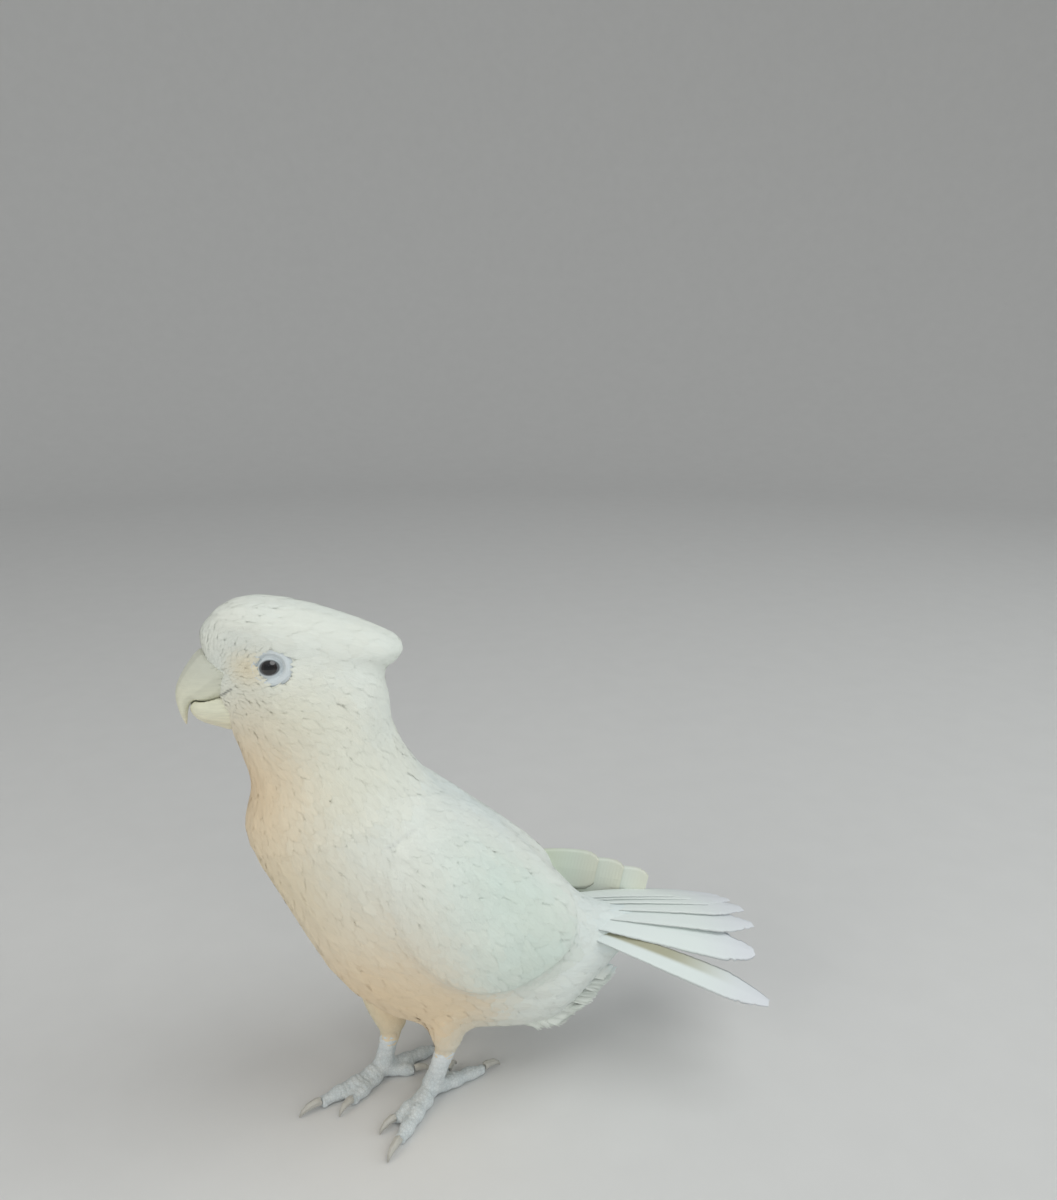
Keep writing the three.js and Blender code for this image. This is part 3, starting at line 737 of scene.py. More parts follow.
def spine():
    """The line that the body's feathers run along, from the bill to the tail."""
    places = ((0.30, 0.75), (0.50, 0.50), (0.85, 0.40))
    trunk = [(MIDDLE_X, place_in("trunk", Y, back), place_in("trunk", Z, up)) for back, up in places]
    line = np.array([centre("bill_upper"), centre("head"), centre("neck"), *trunk, centre("tail")])
    line[:, X] = MIDDLE_X
    return line


def spine_way(points):
    """The spine's direction near each point, turning smoothly from one stretch to the next."""
    line = spine()
    total = np.zeros_like(points)
    for start, end in zip(line[:-1], line[1:]):
        stretch = end - start
        share = np.clip((points - start) @ stretch / (stretch @ stretch), 0, 1)[:, None]
        away = np.linalg.norm(points - start - share * stretch, axis=1, keepdims=True)
        total += unit(stretch[None])[0] / (away + 4 * MM) ** 4
    return unit(total)


def owners(points, nodes):
    """The name of the CAD node nearest to each point."""
    tree, owner = node_tree(nodes)
    found = [tree.find_nearest(p)[2] for p in points.tolist()]
    return np.array(nodes)[owner[found]]


def bare_share(owner):
    """1 on the scaly lower legs and toes, 0 on the feathered skin."""
    return np.array([name.startswith(("tarsus", "toe")) for name in owner], float)


def ring_reach(points, side):
    """How far a point is from an eye's middle, as a share of the bare ring's radii."""
    away = points - EYE[side]
    sideways = SIDES[side] * (points[:, X] - MIDDLE_X)
    reach = np.hypot(away[:, Y] / RING_RADII[0], away[:, Z] / RING_RADII[1])
    return np.where(sideways > 5 * MM, reach, 9.0)


# Coat depth and feather length in mm, by distance in mm from the bill's root.
DEPTH_BY_REACH = ((0, 0.3), (12, 0.4), (30, 0.6), (50, 0.8), (75, 1.0), (120, 1.2), (250, 1.2))
LENGTH_BY_REACH = ((0, 2.6), (10, 3.2), (20, 4.6), (35, 6.4), (50, 8.0), (75, 9.5), (110, 12.0), (160, 13.0),
                   (250, 15.0))
WING_LENGTH_BY_REACH = ((0, 6), (40, 7), (70, 9), (95, 13), (115, 17), (150, 19))
# Thighs and crest, in mm: the length at the thigh's foot or the crest's front, and how much longer it grows.
THIGH_LENGTH = (4.5, 5)
CREST_LENGTH = (7, 9)
LIMB_DEPTH = 0.9
CREST_DEPTH = 1.6
# The bare end of the trunk that lies among the tail's roots.
TRUNK_END = 9 * MM


def by_reach(reach, table):
    """Reads a table of (distance in mm, size in mm) at distances in metres; gives metres."""
    distances, sizes = np.array(table, float).T
    return np.interp(reach / MM, distances, sizes) * MM


def coat_depth(points, owner):
    """How far the skin lies inside the coat."""
    depth = by_reach(np.linalg.norm(points - FACE_FROM, axis=1), DEPTH_BY_REACH)
    limb = np.char.startswith(owner, "wing") | np.char.startswith(owner, "thigh")
    depth = np.where(limb, LIMB_DEPTH * MM, depth)
    depth = np.where(owner == "crest", CREST_DEPTH * MM, depth)
    return depth * (1 - bare_share(owner))


def subdivided(points, quads, chosen):
    """Each chosen quad becomes four; the points on the rim of the choice stay on the old edges."""
    picked = quads[chosen]
    pairs = np.stack([picked, np.roll(picked, -1, axis=1)], axis=2).reshape(-1, 2)
    keys, first = np.unique(np.sort(pairs, axis=1), axis=0, return_inverse=True)
    edge_start = len(points)
    face_start = edge_start + len(keys)
    middles = points[keys].mean(1)
    centres = points[picked].mean(1)
    edge = edge_start + first.reshape(-1, 4)
    face = face_start + np.arange(len(picked))
    parts = [np.stack([picked[:, k], edge[:, k], face, edge[:, k - 1]], axis=1) for k in range(4)]
    return np.concatenate([points, middles, centres]), np.concatenate([quads[~chosen], *parts])


def rim_points(quads, total):
    """1 for each point on an edge that has only one quad."""
    pairs = np.sort(np.concatenate([quads[:, [k, (k + 1) % 4]] for k in range(4)]), axis=1)
    keys, uses = np.unique(pairs, axis=0, return_counts=True)
    rim = np.zeros(total)
    rim[keys[uses == 1].ravel()] = 1
    return rim


def sunk_skin(surface):
    """The flesh as one skin, the coat's surface moved in by the coat's depth, and how bare each point is."""
    points, quads, edges = surface.points, surface.quads, surface.edges
    owner = owners(points, [*FLESH, "crest"])
    depth = coat_depth(points, owner)[:, None]
    for _ in range(ROUNDS["depth"]):
        depth = 0.5 * depth + 0.5 * around(depth, edges)
    body = smoothstep(points[:, Z], *ABOVE_FEET)
    for _ in range(ROUNDS["sink"]):
        points = points - normals_of(points, quads) * depth / ROUNDS["sink"]
        points = relax(points, edges, 2, 0.5 * body, taubin=False)
    for side in SIDES:
        pushed = (1 - smoothstep(ring_reach(points, side), *RING_EDGE))[:, None] * SKIN_PUSHED
        points = points - normals_of(points, quads) * pushed
    return points, quads, bare_share(owner)


# In mm: how long and high the scutes are on toes and tarsus, and the same for the swell of the toes' joints.
SCUTE = {"toe": 2.3, "toe_high": 0.42, "tarsus": 2.6, "tarsus_high": 0.35, "joint": 8.5, "joint_high": 0.30}


def scutes(distance, length):
    """The rounded tops of scutes of one length, with sharp creases between them."""
    return np.abs(np.sin(distance / (length * MM) * math.pi)) ** 0.5 - 0.75


def toe_scales(points, normals):
    """Creases between the scutes on top of each toe and tarsus, and the swell of each joint."""
    moved = np.zeros(len(points))
    for name in FEET:
        claw = centre(name.replace("toe", "claw"))
        start = centre(f"tarsus_{name.split('_')[1]}")
        way = unit((claw - start) * (1, 1, 0))
        out = (points - start) @ way
        across = np.linalg.norm((points - start - out[:, None] * way) * (1, 1, 0), axis=1)
        inside = (1 - smoothstep(across, 3.4 * MM, 4.6 * MM)) * smoothstep(out, 3 * MM, 6 * MM)
        top = smoothstep(normals[:, Z], 0.0, 0.6)
        joint = np.cos(out / (SCUTE["joint"] * MM) * 2 * math.pi)
        scute = scutes(out, SCUTE["toe"])
        moved += inside * (top * scute * SCUTE["toe_high"] + joint * SCUTE["joint_high"]) * MM
    for side in SIDES:
        inside = risen(points, f"tarsus_{side}", Z, 0, 3, 6)
        near = np.linalg.norm((points - centre(f"tarsus_{side}")) * (1, 1, 0), axis=1) < 12 * MM
        moved += inside * near * scutes(points[:, Z], SCUTE["tarsus"]) * SCUTE["tarsus_high"] * MM
    return moved


# ---------- the eyes ----------
APERTURE = np.array((3.40, 2.62)) * MM
RING_TURNS = 112
LID_HEIGHT = 0.20 * MM
LID_STANDS = 0.5 * MM
# The way that the eyes are set in leans back and down, as seen from the camera's side.
EYE_INWARD = np.array((0.0, -0.27, 0.27))
EYE_TURNS, EYE_RINGS = 48, 32
# From here on, places are shares of the way from the lid's edge, 0, to the ring's outer edge, 1.
LID_SHARES = np.concatenate([[-0.10, -0.04, 0.0, 0.03, 0.07, 0.12], np.linspace(0.17, 1.12, 26)])
LID_FULL = (-0.02, 0.08)
LID_TO_SKIN = (0.05, 0.62)
LID_RIM = (0.02, 0.14)
RING_EDGE = (0.85, 1.12)
# The ring's fat roll and the groove inside it: their place, width and height in mm.
RING_FOLDS = ((0.62, 0.20, 0.25), (0.30, 0.09, -0.05))
WRINKLES = {"high": 0.05, "count": 46, "from": (0.2, 0.4), "to": (0.85, 1.0)}
# How deep the ring's edge dives under the feathers, in mm, and how much less at the back than in front.
RING_DIVE = (0.95, 0.55)
SKIN_PUSHED = 6.5 * MM


def eye_frame(side, outer):
    """An eye's middle, its outward axis, its radius, and the directions to the back and up across it.

    The eye is set into the head so that its lids stand only a little above the skin round them.
    """
    outward = np.array((SIDES[side], 0.0, 0.0))
    near, normal, _ = outer.nearest((EYE[side] + outward * 6 * MM)[None])
    axis = unit(normal[0] * 0.5 + outward * 0.5)
    back = unit(np.array((0, 1.0, 0)) - axis[Y] * axis)
    up = np.cross(axis, back) * SIDES[side]
    lo, hi = box(f"eye_{side}")
    ball = (hi - lo).max() / 2
    rim = math.sqrt(ball ** 2 - APERTURE.min() ** 2) + LID_HEIGHT
    sink = max(rim - (near[0] - EYE[side]) @ axis - LID_STANDS, 0.0)
    inward = unit(outward + EYE_INWARD)
    print(f"scene: eye_{side} is set in by {sink / MM:.2f} mm")
    return EYE[side] - sink * inward / (inward @ axis), axis, ball, back, up


def lid_ring(side, outer, eye):
    """The bare ring of skin round an eye with its lids: points and quads."""
    middle, axis, ball, back, up = eye
    turns = np.linspace(0, 2 * math.pi, RING_TURNS, endpoint=False)
    waver = 1.3 * np.sin(turns * 3) + 0.6 * np.sin(turns * 7 + 1)
    rows = []
    for share in LID_SHARES:
        radii = APERTURE + (RING_RADII * 1.06 - APERTURE) * share
        across = np.cos(turns)[:, None] * radii[0] * back + np.sin(turns)[:, None] * radii[1] * up
        reach = np.linalg.norm(across, axis=1)
        on_ball = np.sqrt(np.maximum(ball ** 2 - np.minimum(reach, ball * 0.98) ** 2, 0))
        starts = middle + across + axis * 20 * MM
        hits = [outer.tree.ray_cast(Vector(start), Vector(-axis))[0] for start in starts]
        skin = (np.array(hits) - middle) @ axis - 0.3 * MM
        lid = on_ball + 0.05 * MM + LID_HEIGHT * smoothstep(share, *LID_FULL)
        blend = smoothstep(share, *LID_TO_SKIN)
        height = lid * (1 - blend) + skin * blend
        for at, wide, high in RING_FOLDS:
            height = height + math.exp(-((share - at) / wide) ** 2) * high * MM
        wrinkled = smoothstep(share, *WRINKLES["from"]) * (1 - smoothstep(share, *WRINKLES["to"]))
        height = height + wrinkled * WRINKLES["high"] * MM * np.sin(share * WRINKLES["count"] + waver)
        height = height - (RING_DIVE[0] - RING_DIVE[1] * np.cos(turns)) * MM * smoothstep(share, *RING_EDGE)
        rows.append(middle + across + height[:, None] * axis)
    quads = grid_quads(len(LID_SHARES) - 1, RING_TURNS, range(RING_TURNS))[:, [0, 3, 2, 1]]
    return np.concatenate(rows), quads if side == "left" else quads[:, ::-1]


def make_eye(side, eye, material):
    """An eyeball with a slightly raised cornea, and each point's turn and angle from the axis."""
    middle, axis, ball, back, up = eye
    turn = np.arange(EYE_TURNS) / EYE_TURNS * 2 * math.pi
    angle = np.linspace(0.02, math.pi * 0.98, EYE_RINGS)
    radius = ball * (1 + 0.05 * np.exp(-(angle / 0.5) ** 2))
    across = np.cos(turn)[None, :, None] * back + np.sin(turn)[None, :, None] * up
    points = (middle + (radius * np.cos(angle))[:, None, None] * axis
              + (radius * np.sin(angle))[:, None, None] * across)
    quads = grid_quads(EYE_RINGS - 1, EYE_TURNS, range(EYE_TURNS))
    if side == "right":
        quads = quads[:, ::-1]
    made = new_object(f"eyeball_{side}", points.reshape(-1, 3), quads, material)
    polar = np.zeros((EYE_RINGS, EYE_TURNS, 3))
    polar[..., 0] = turn / (2 * math.pi)
    polar[..., 1] = angle[:, None]
    add_attribute(made, "polar", "FLOAT_VECTOR", polar)
    hand_over(made, [f"eye_{side}"])


# Feet and claws end this far above the floor, so that they don't share its plane.
SOLE = 0.05 * MM


def hand_over(piece, nodes):
    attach(piece, "root")
    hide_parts(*nodes)


def make_skin(outer, eyes):
    """One skin over the whole body, with the lids and the scaly feet; also gives its shell."""
    points, quads, bare = sunk_skin(outer)
    old = len(points)
    points, quads = subdivided(points, quads, bare[quads].min(1) > 0.5)
    bare = np.concatenate([bare, np.ones(len(points) - old)])
    free = bare * (1 - rim_points(quads, len(points)))
    points = relax(points, edges_of(quads), ROUNDS["feet"], 0.5 * free)
    normals = normals_of(points, quads)
    points = points + normals * (toe_scales(points, normals) * free)[:, None]
    points[:, Z] = np.maximum(points[:, Z], SOLE)
    lids = [lid_ring(side, outer, eyes[side]) for side in SIDES]
    ringed = 0
    for lid_points, lid_quads in lids:
        quads = np.concatenate([quads, lid_quads + len(points)])
        points = np.concatenate([points, lid_points])
        ringed += len(lid_points)
    body = np.zeros(len(points) - ringed)
    edge = np.tile(np.repeat(1 - smoothstep(LID_SHARES, *LID_RIM), RING_TURNS), len(lids))
    skin = new_object("skin", points, quads, skin_material())
    add_attribute(skin, "bare", "FLOAT", np.concatenate([bare, np.zeros(ringed)]))
    add_attribute(skin, "ring", "FLOAT", np.concatenate([body, np.ones(ringed)]))
    add_attribute(skin, "rim", "FLOAT", np.concatenate([body, edge]))
    unwrap(skin)
    hand_over(skin, FLESH)
    return skin, Shell(points, quads)


def unwrap(thing):
    """The skin's own unwrap, by angle, as the map that baking uses."""
    for other in bpy.context.selected_objects:
        other.select_set(False)
    bpy.context.view_layer.objects.active = thing
    thing.select_set(True)
    thing.data.uv_layers.new(name="OFBake")
    bpy.ops.object.mode_set(mode="EDIT")
    bpy.ops.mesh.select_all(action="SELECT")
    bpy.ops.uv.smart_project(angle_limit=math.radians(66), island_margin=0.002)
    bpy.ops.object.mode_set(mode="OBJECT")


def quad_places(skin):
    """Where the middle of each of the skin's quads is on its unwrap."""
    layer = skin.data.uv_layers["OFBake"]
    values = np.empty(len(skin.data.loops) * 2, np.float32)
    layer.data.foreach_get("uv", values)
    return values.reshape(-1, 4, 2).mean(1).astype(float)


# ---------- the coat ----------
# Each kind of feather: rows along it, columns each side, how far its barbs slant, its outline's blunt
# tip (a low power is blunt), how ragged its edge is, its camber and its rise towards the tip as shares of
# its half width and its length, how steeply it may sink to the body, the share of it that dips to its root,
# and how closely it follows the body's turns.
KINDS = {
    "face": {"rows": 7, "columns": 2, "slant": 0.50, "blunt": 0.70, "ragged": 0.10,
             "camber": 0.03, "rise": 0.018, "soft": 0.9, "hidden": 0.36, "follow": 0.6},
    "body": {"rows": 10, "columns": 3, "slant": 0.48, "blunt": 0.62, "ragged": 0.09,
             "camber": 0.03, "rise": 0.014, "soft": 0.6, "hidden": 0.34, "follow": 0.6},
    "covert": {"rows": 14, "columns": 3, "slant": 0.40, "blunt": 0.50, "ragged": 0.06,
               "camber": 0.03, "rise": 0.014, "soft": 0.5, "hidden": 0.30, "follow": 0.6},
    "crest": {"rows": 18, "columns": 3, "slant": 0.36, "blunt": 0.50, "ragged": 0.08,
              "camber": 0.03, "rise": 0.012, "soft": 0.5, "hidden": 0.30, "follow": 0.6},
    "loose": {"rows": 16, "columns": 3, "slant": 0.45, "blunt": 1.00, "ragged": 0.18,
              "camber": 0.06, "rise": 0.020, "soft": 0.03, "hidden": 0.25, "follow": 0.0},
}
# How far loose feathers face sideways and up, and how far they turn about their own length.
FACING = (0.8, 0.6)
ROLL = 0.25
# How far a feather may run on past the place where the surface turns away, and the least share of its
# length that has to lie before that place.
TURN = 0.45
RUN_STEP = 1.0 * MM
OVERHANG = 1.2 * MM
LEAST_RUN = 0.35
VARIANTS = 12
TIP = 0.965
# Between two rows a barb's loose end takes this stretch of the gap.
BARB_END = (0.32, 0.68)
# How much feathers differ: lengths and widths as shares, lifts in mm, and shades as shares.
VARY = {"length": (0.88, 1.12), "width": (0.9, 1.1), "lift": 0.03, "tint": 0.012}
DEEPEST_ROOT = 9 * MM
# A root goes this share of the way to the skin, and a vane bends to the surface more towards its edge.
ROOT_SHARE = 0.92
EDGE_BEND = 1.6


def templates(rows, columns, slant, blunt, ragged, **_):
    """Flat feathers of length 1 and half width 1: along and across, by variant, row and column.

    The first two and last two columns are the loose ends of the barbs: each gap between two rows ends in
    a finger of its own, which the next gap's finger doesn't touch.
    """
    base = TIP * (np.arange(rows + 1) / rows) ** 0.9
    gap = np.diff(base, append=base[-1] + 1e-3)
    column = np.arange(1 - columns, columns)
    side = np.sign(column) * (np.abs(column) / columns) ** 0.8

    def outline(share):
        return np.maximum(np.sin(math.pi * np.clip(share, 0, 1) ** 0.8) ** blunt, 0.10)

    end = base + (1 - base) * slant
    along = base[:, None] + (end - base)[:, None] * np.abs(side) ** 1.1
    across = outline(end)[:, None] * side
    along = np.repeat(along[None], VARIANTS, axis=0)
    across = np.repeat(across[None], VARIANTS, axis=0)
    ends = []
    for turn in (-1, 1):
        reach = 1 + ragged * rng.normal(0, 1, (VARIANTS, rows + 1)) * (0.5 + base)
        lean = gap * rng.normal(0, 0.25, (VARIANTS, rows + 1))
        for share in BARB_END:
            start = base + gap * share
            out = start + (1 - start) * slant
            ends.append((out + lean, turn * outline(out) * reach))
    pairs = ends[:2], ends[2:]
    left, right = (np.stack([np.stack(end, axis=-1) for end in pair], axis=2) for pair in pairs)
    along = np.concatenate([left[..., 0], along, right[..., 0]], axis=2)
    across = np.concatenate([left[..., 1], across, right[..., 1]], axis=2)
    return base, np.minimum(along, 1.0), across


# Each cell of the search grid has one number, and so has the step to each cell round it.
CELLS = 4096
NEIGHBOURS = [(dx * CELLS + dy) * CELLS + dz for dx in (-1, 0, 1) for dy in (-1, 0, 1) for dz in (-1, 0, 1)]
# Tries for each root that is needed, and how near two roots may be as a share of the spacing.
TRIES = 9
CLEAR = 0.86


def scatter(shell, quads, spacing):
    """Roots spread evenly over some quads, about spacing (given for each vertex) apart: points and quads."""
    corners = shell.points[shell.quads[quads]]
    area = np.linalg.norm(np.cross(corners[:, 2] - corners[:, 0], corners[:, 3] - corners[:, 1]), axis=1) / 2
    gap = spacing[shell.quads[quads]].mean(1)
    need = area / gap ** 2
    tries = int(need.sum() * TRIES)
    which = np.searchsorted(np.cumsum(need) / need.sum(), rng.random(tries))
    u, v = rng.random((2, tries, 1))
    c = corners[which]
    points = (c[:, 0] * (1 - u) + c[:, 1] * u) * (1 - v) + (c[:, 3] * (1 - u) + c[:, 2] * u) * v
    cells = (points // gap.max() @ (CELLS ** 2, CELLS, 1)).tolist()
    grid, kept = {}, []
    for number, (point, cell, clear) in enumerate(zip(points.tolist(), cells, (gap[which] * CLEAR).tolist())):
        near = (other for step in NEIGHBOURS for other in grid.get(cell + step, ()))
        if all(math.dist(point, other) > clear for other in near):
            grid.setdefault(cell, []).append(point)
            kept.append(number)
    return points[kept], quads[which[kept]]


class Plumage:
    """Grows feathers over the coat's surface from roots in the skin beneath it."""

    def __init__(self, outer, skin, skin_shell):
        self.outer = outer
        self.skin_shell = skin_shell
        self.places = quad_places(skin)

    def run(self, points, normal, way, most):
        """How far each feather can lie along the surface before it turns away sharply."""
        run = np.full(len(points), most)
        free = np.ones(len(points), bool)
        at = points
        for step in range(int(most / RUN_STEP)):
            near, fresh, _ = self.outer.nearest(at + way * RUN_STEP)
            turned = free & (dot(fresh, normal)[:, 0] < TURN)
            run[turned] = step * RUN_STEP
            free &= ~turned
            way = unit(near - at)
            at = near
        return run

    def roots(self, points, quad, flow, length, width, kind, yaw=0.12, lean=None, lean_share=0.0):
        """Everything that each feather starts from, with its own small differences.

        Feathers lie along the flow, unless they lean some share of the way to a direction of their own.
        """
        normal = unit(self.outer.blended(self.outer.normals, points, quad))
        way = self.outer.blended(flow, points, quad)
        way = unit(way - dot(way, normal) * normal)
        turn = rng.normal(0, yaw, len(points))[:, None]
        way = unit(way * np.cos(turn) + np.cross(normal, way) * np.sin(turn))
        on_skin, _, skin_quad = self.skin_shell.nearest(points)
        depth = np.linalg.norm(points - on_skin, axis=1)
        count = len(points)
        length = length * rng.uniform(*VARY["length"], count)
        keep = np.ones(count, bool)
        if lean is None:
            run = self.run(points, normal, way, length.max())
            keep = run > LEAST_RUN * length
            width = width * np.minimum(1, (run + OVERHANG) / length)
            length = np.minimum(length, run + OVERHANG)
        else:
            wild = rng.normal(0, yaw, (count, 3))
            way = unit(way * (1 - lean_share) + (np.array(lean) + wild) * lean_share)
            roll = rng.normal(0, ROLL, count)[:, None]
            facing = np.sign(points[:, :1] - MIDDLE_X) * (1, 0, 0) * FACING[0] + np.array((0, 0, FACING[1]))
            normal = unit(facing - dot(way, facing) * way)
            normal = normal * np.cos(roll) + np.cross(way, normal) * np.sin(roll)
        made = {
            "at": points, "normal": normal, "way": way, "length": length,
            "width": width * rng.uniform(*VARY["width"], count), "depth": np.minimum(depth, DEEPEST_ROOT),
            "lift": rng.normal(0, VARY["lift"], count) * MM, "place": self.places[skin_quad],
            "tint": rng.normal(1.0, VARY["tint"], count),
        }
        return {"kind": kind, **{name: values[keep] for name, values in made.items()}}

    def grow(self, roots):
        """Each feather's points (feather, row, column, 3), and its flat shape."""
        kind = KINDS[roots["kind"]]
        base, along, across = templates(**kind)
        pick = rng.integers(VARIANTS, size=len(roots["at"]))
        along, across = along[pick], across[pick]
        length = roots["length"][:, None]
        half = roots["width"][:, None] / 2
        rise = kind["rise"] * length

        def wish(share):
            hidden = np.clip(1 - share / kind["hidden"], 0, 1) ** 2
            root = roots["depth"][:, None] * ROOT_SHARE
            return roots["lift"][:, None] - root * hidden - rise * (1 - share)

        point = roots["at"] + roots["normal"] * wish(np.zeros((1, 1)))
        way, normal = roots["way"], roots["normal"]
        grid = np.empty((*along.shape, 3))
        middle = along.shape[2] // 2
        for row, share in enumerate(base):
            if row:
                step = (share - base[row - 1]) * length
                ahead = point + way * step
                near, fresh, _ = self.outer.nearest(ahead)
                change = wish(np.full((1, 1), share)) - dot(ahead - near, fresh)
                ahead = ahead + fresh * np.maximum(change, -kind["soft"] * step)
                normal = unit(normal + (fresh - normal) * kind["follow"])
                way = unit(ahead - point)
                way = unit(way - kind["follow"] * dot(way, normal) * normal)
                point = ahead
            side = unit(np.cross(normal, way))
            reach = (along[:, row, :, None] - share) * length[:, None] * way[:, None]
            reach = reach + across[:, row, :, None] * half[:, None] * side[:, None]
            spread = point[:, None] + reach
            for edge in (0, -1):
                near, fresh, _ = self.outer.nearest(spread[:, edge])
                bend = kind["camber"] * half * across[:, row, edge, None] ** 2
                change = wish(along[:, row, edge, None]) - bend - dot(spread[:, edge] - near, fresh)
                limit = -kind["soft"] * np.linalg.norm(reach[:, edge], axis=1, keepdims=True)
                change = np.maximum(change, limit)
                columns = range(middle) if edge == 0 else range(middle + 1, along.shape[2])
                for column in columns:
                    out = across[:, row, column] / (across[:, row, edge] + 1e-9)
                    spread[:, column] += fresh * change * (out ** EDGE_BEND)[:, None]
            grid[:, row] = spread
        return grid, along, across


def fringed_quads(feathers, rows, columns):
    """Quads for feathers from templates(): joined barbs inside, and a loose finger at each gap's ends."""
    wide = 2 * columns + 3
    last = wide - 3
    inner = grid_quads(rows, wide, range(2, last))
    row = np.arange(rows)
    left = np.stack([row * wide, row * wide + 1, (row + 1) * wide + 2, row * wide + 2], axis=-1)
    right = np.stack([row * wide + last, (row + 1) * wide + last,
                      row * wide + last + 2, row * wide + last + 1], axis=-1)
    one = np.concatenate([inner, left, right])
    return (one[None] + (np.arange(feathers) * (rows + 1) * wide)[:, None, None]).reshape(-1, 4)


# How wide each feather's patch is on the bake map.
PATCH = 0.003


def make_coat(name, plumage, roots, material, nodes=()):
    """One piece of the coat: its feathers joined as one mesh."""
    kind = KINDS[roots["kind"]]
    grid, out, across = plumage.grow(roots)
    feathers, each = len(grid), grid.shape[1] * grid.shape[2]
    quads = fringed_quads(feathers, kind["rows"], kind["columns"])
    flat = np.stack([across, out], axis=-1).reshape(feathers, each, 2)
    patch = roots["place"][:, None] + (flat - (0, 0.5)) * (PATCH / 2, PATCH)
    used = np.unique(quads)
    renumber = np.zeros(feathers * each, np.int64)
    renumber[used] = np.arange(len(used))
    piece = new_object(name, grid.reshape(-1, 3)[used], renumber[quads], material)
    add_uv(piece, "OFBake", patch.reshape(-1, 2)[used])
    rows = np.broadcast_to((np.arange(grid.shape[1]) / kind["rows"])[None, :, None], out.shape)
    add_uv(piece, "vane", np.stack([across, rows], axis=-1).reshape(-1, 2)[used])
    add_attribute(piece, "root", "FLOAT_VECTOR", np.repeat(roots["at"], each, axis=0)[used])
    add_attribute(piece, "tint", "FLOAT", np.repeat(roots["tint"], each)[used])
    hand_over(piece, nodes)
    print(f"scene: {name}: {feathers} feathers, {2 * len(quads)} triangles")


def feather_lengths(outer, owner):
    """The length of the feathers that grow at each vertex of the coat's surface."""
    length = by_reach(np.linalg.norm(outer.points - FACE_FROM, axis=1), LENGTH_BY_REACH)
    for side in SIDES:
        from_wrist = np.linalg.norm(outer.points - wing_focus(side), axis=1)
        length = np.where(owner == f"wing_{side}", by_reach(from_wrist, WING_LENGTH_BY_REACH), length)
        thigh = f"thigh_{side}"
        up = smoothstep(outer.points[:, Z], *(place_in(thigh, Z, end) for end in (0, 1)))
        length = np.where(owner == thigh, (THIGH_LENGTH[0] + THIGH_LENGTH[1] * up) * MM, length)
    back = smoothstep(outer.points[:, Y], place_in("crest", Y, 0, 12), place_in("crest", Y, 1, -20))
    length = np.where(owner == "crest", (CREST_LENGTH[0] + CREST_LENGTH[1] * back) * MM, length)
    length = length[:, None]
    for _ in range(ROUNDS["length"]):
        length = 0.5 * length + 0.5 * around(length, outer.edges)
    return length[:, 0]


# Where one region of the coat ends and the next starts: in metres from the bill's root, as shares of the
# trunk's box from front to back and from low to high, and by how far the surface faces up.
FACE_REACH = 30 * MM
FRONT, REAR, LOW = 0.33, 0.62, 0.40
UNDER = -0.15


def regions(outer):
    """Each piece of the coat with its quads, its kind, a feather's width for its length and how many overlap.

    The second value is the quads of the lobe under the tail, where the loose tufts grow.
    """
    middles = outer.points[outer.quads].mean(1)
    owner = owners(middles, [*FLESH, "crest"])
    lo, hi = box("trunk")
    share = (middles - lo) / (hi - lo)
    trunk = (owner == "trunk") & (middles[:, Y] < hi[Y] - TRUNK_END)
    front, low = share[:, Y] < FRONT, share[:, Z] < LOW
    under = facing_up(outer) < UNDER
    vent = under & (share[:, Y] > REAR)
    ringed = np.minimum(*(ring_reach(middles, side) for side in SIDES)) < 1.0
    near_bill = np.linalg.norm(middles - FACE_FROM, axis=1) < FACE_REACH
    head = (owner == "head") & ~ringed
    lobe = trunk & under & (np.abs(middles[:, X] - MIDDLE_X) < VENT["half"] * MM)
    lobe = lobe & (share[:, Y] > VENT["from"]) & (share[:, Y] < VENT["to"]) & (share[:, Z] < VENT["below"])
    return {
        "face_feathers": (head & near_bill, "face", 0.55, 9.0),
        "head_feathers": (head & ~near_bill, "body", 0.55, 9.5),
        "crest_feathers": (owner == "crest", "crest", 0.50, 9.5),
        "neck_feathers": (owner == "neck", "body", 0.58, 9.5),
        "breast_feathers": (trunk & front & ~low, "body", 0.60, 9.5),
        "belly_feathers": (trunk & low & ~vent, "body", 0.60, 9.0),
        "vent_feathers": (trunk & low & vent, "body", 0.55, 9.0),
        "back_feathers": (trunk & ~front & ~low, "body", 0.60, 9.0),
        "wing_feathers_left": (owner == "wing_left", "covert", 0.58, 9.0),
        "wing_feathers_right": (owner == "wing_right", "covert", 0.58, 9.0),
        "thigh_feathers_left": (owner == "thigh_left", "body", 0.62, 8.0),
        "thigh_feathers_right": (owner == "thigh_right", "body", 0.62, 8.0),
    }, np.flatnonzero(lobe)


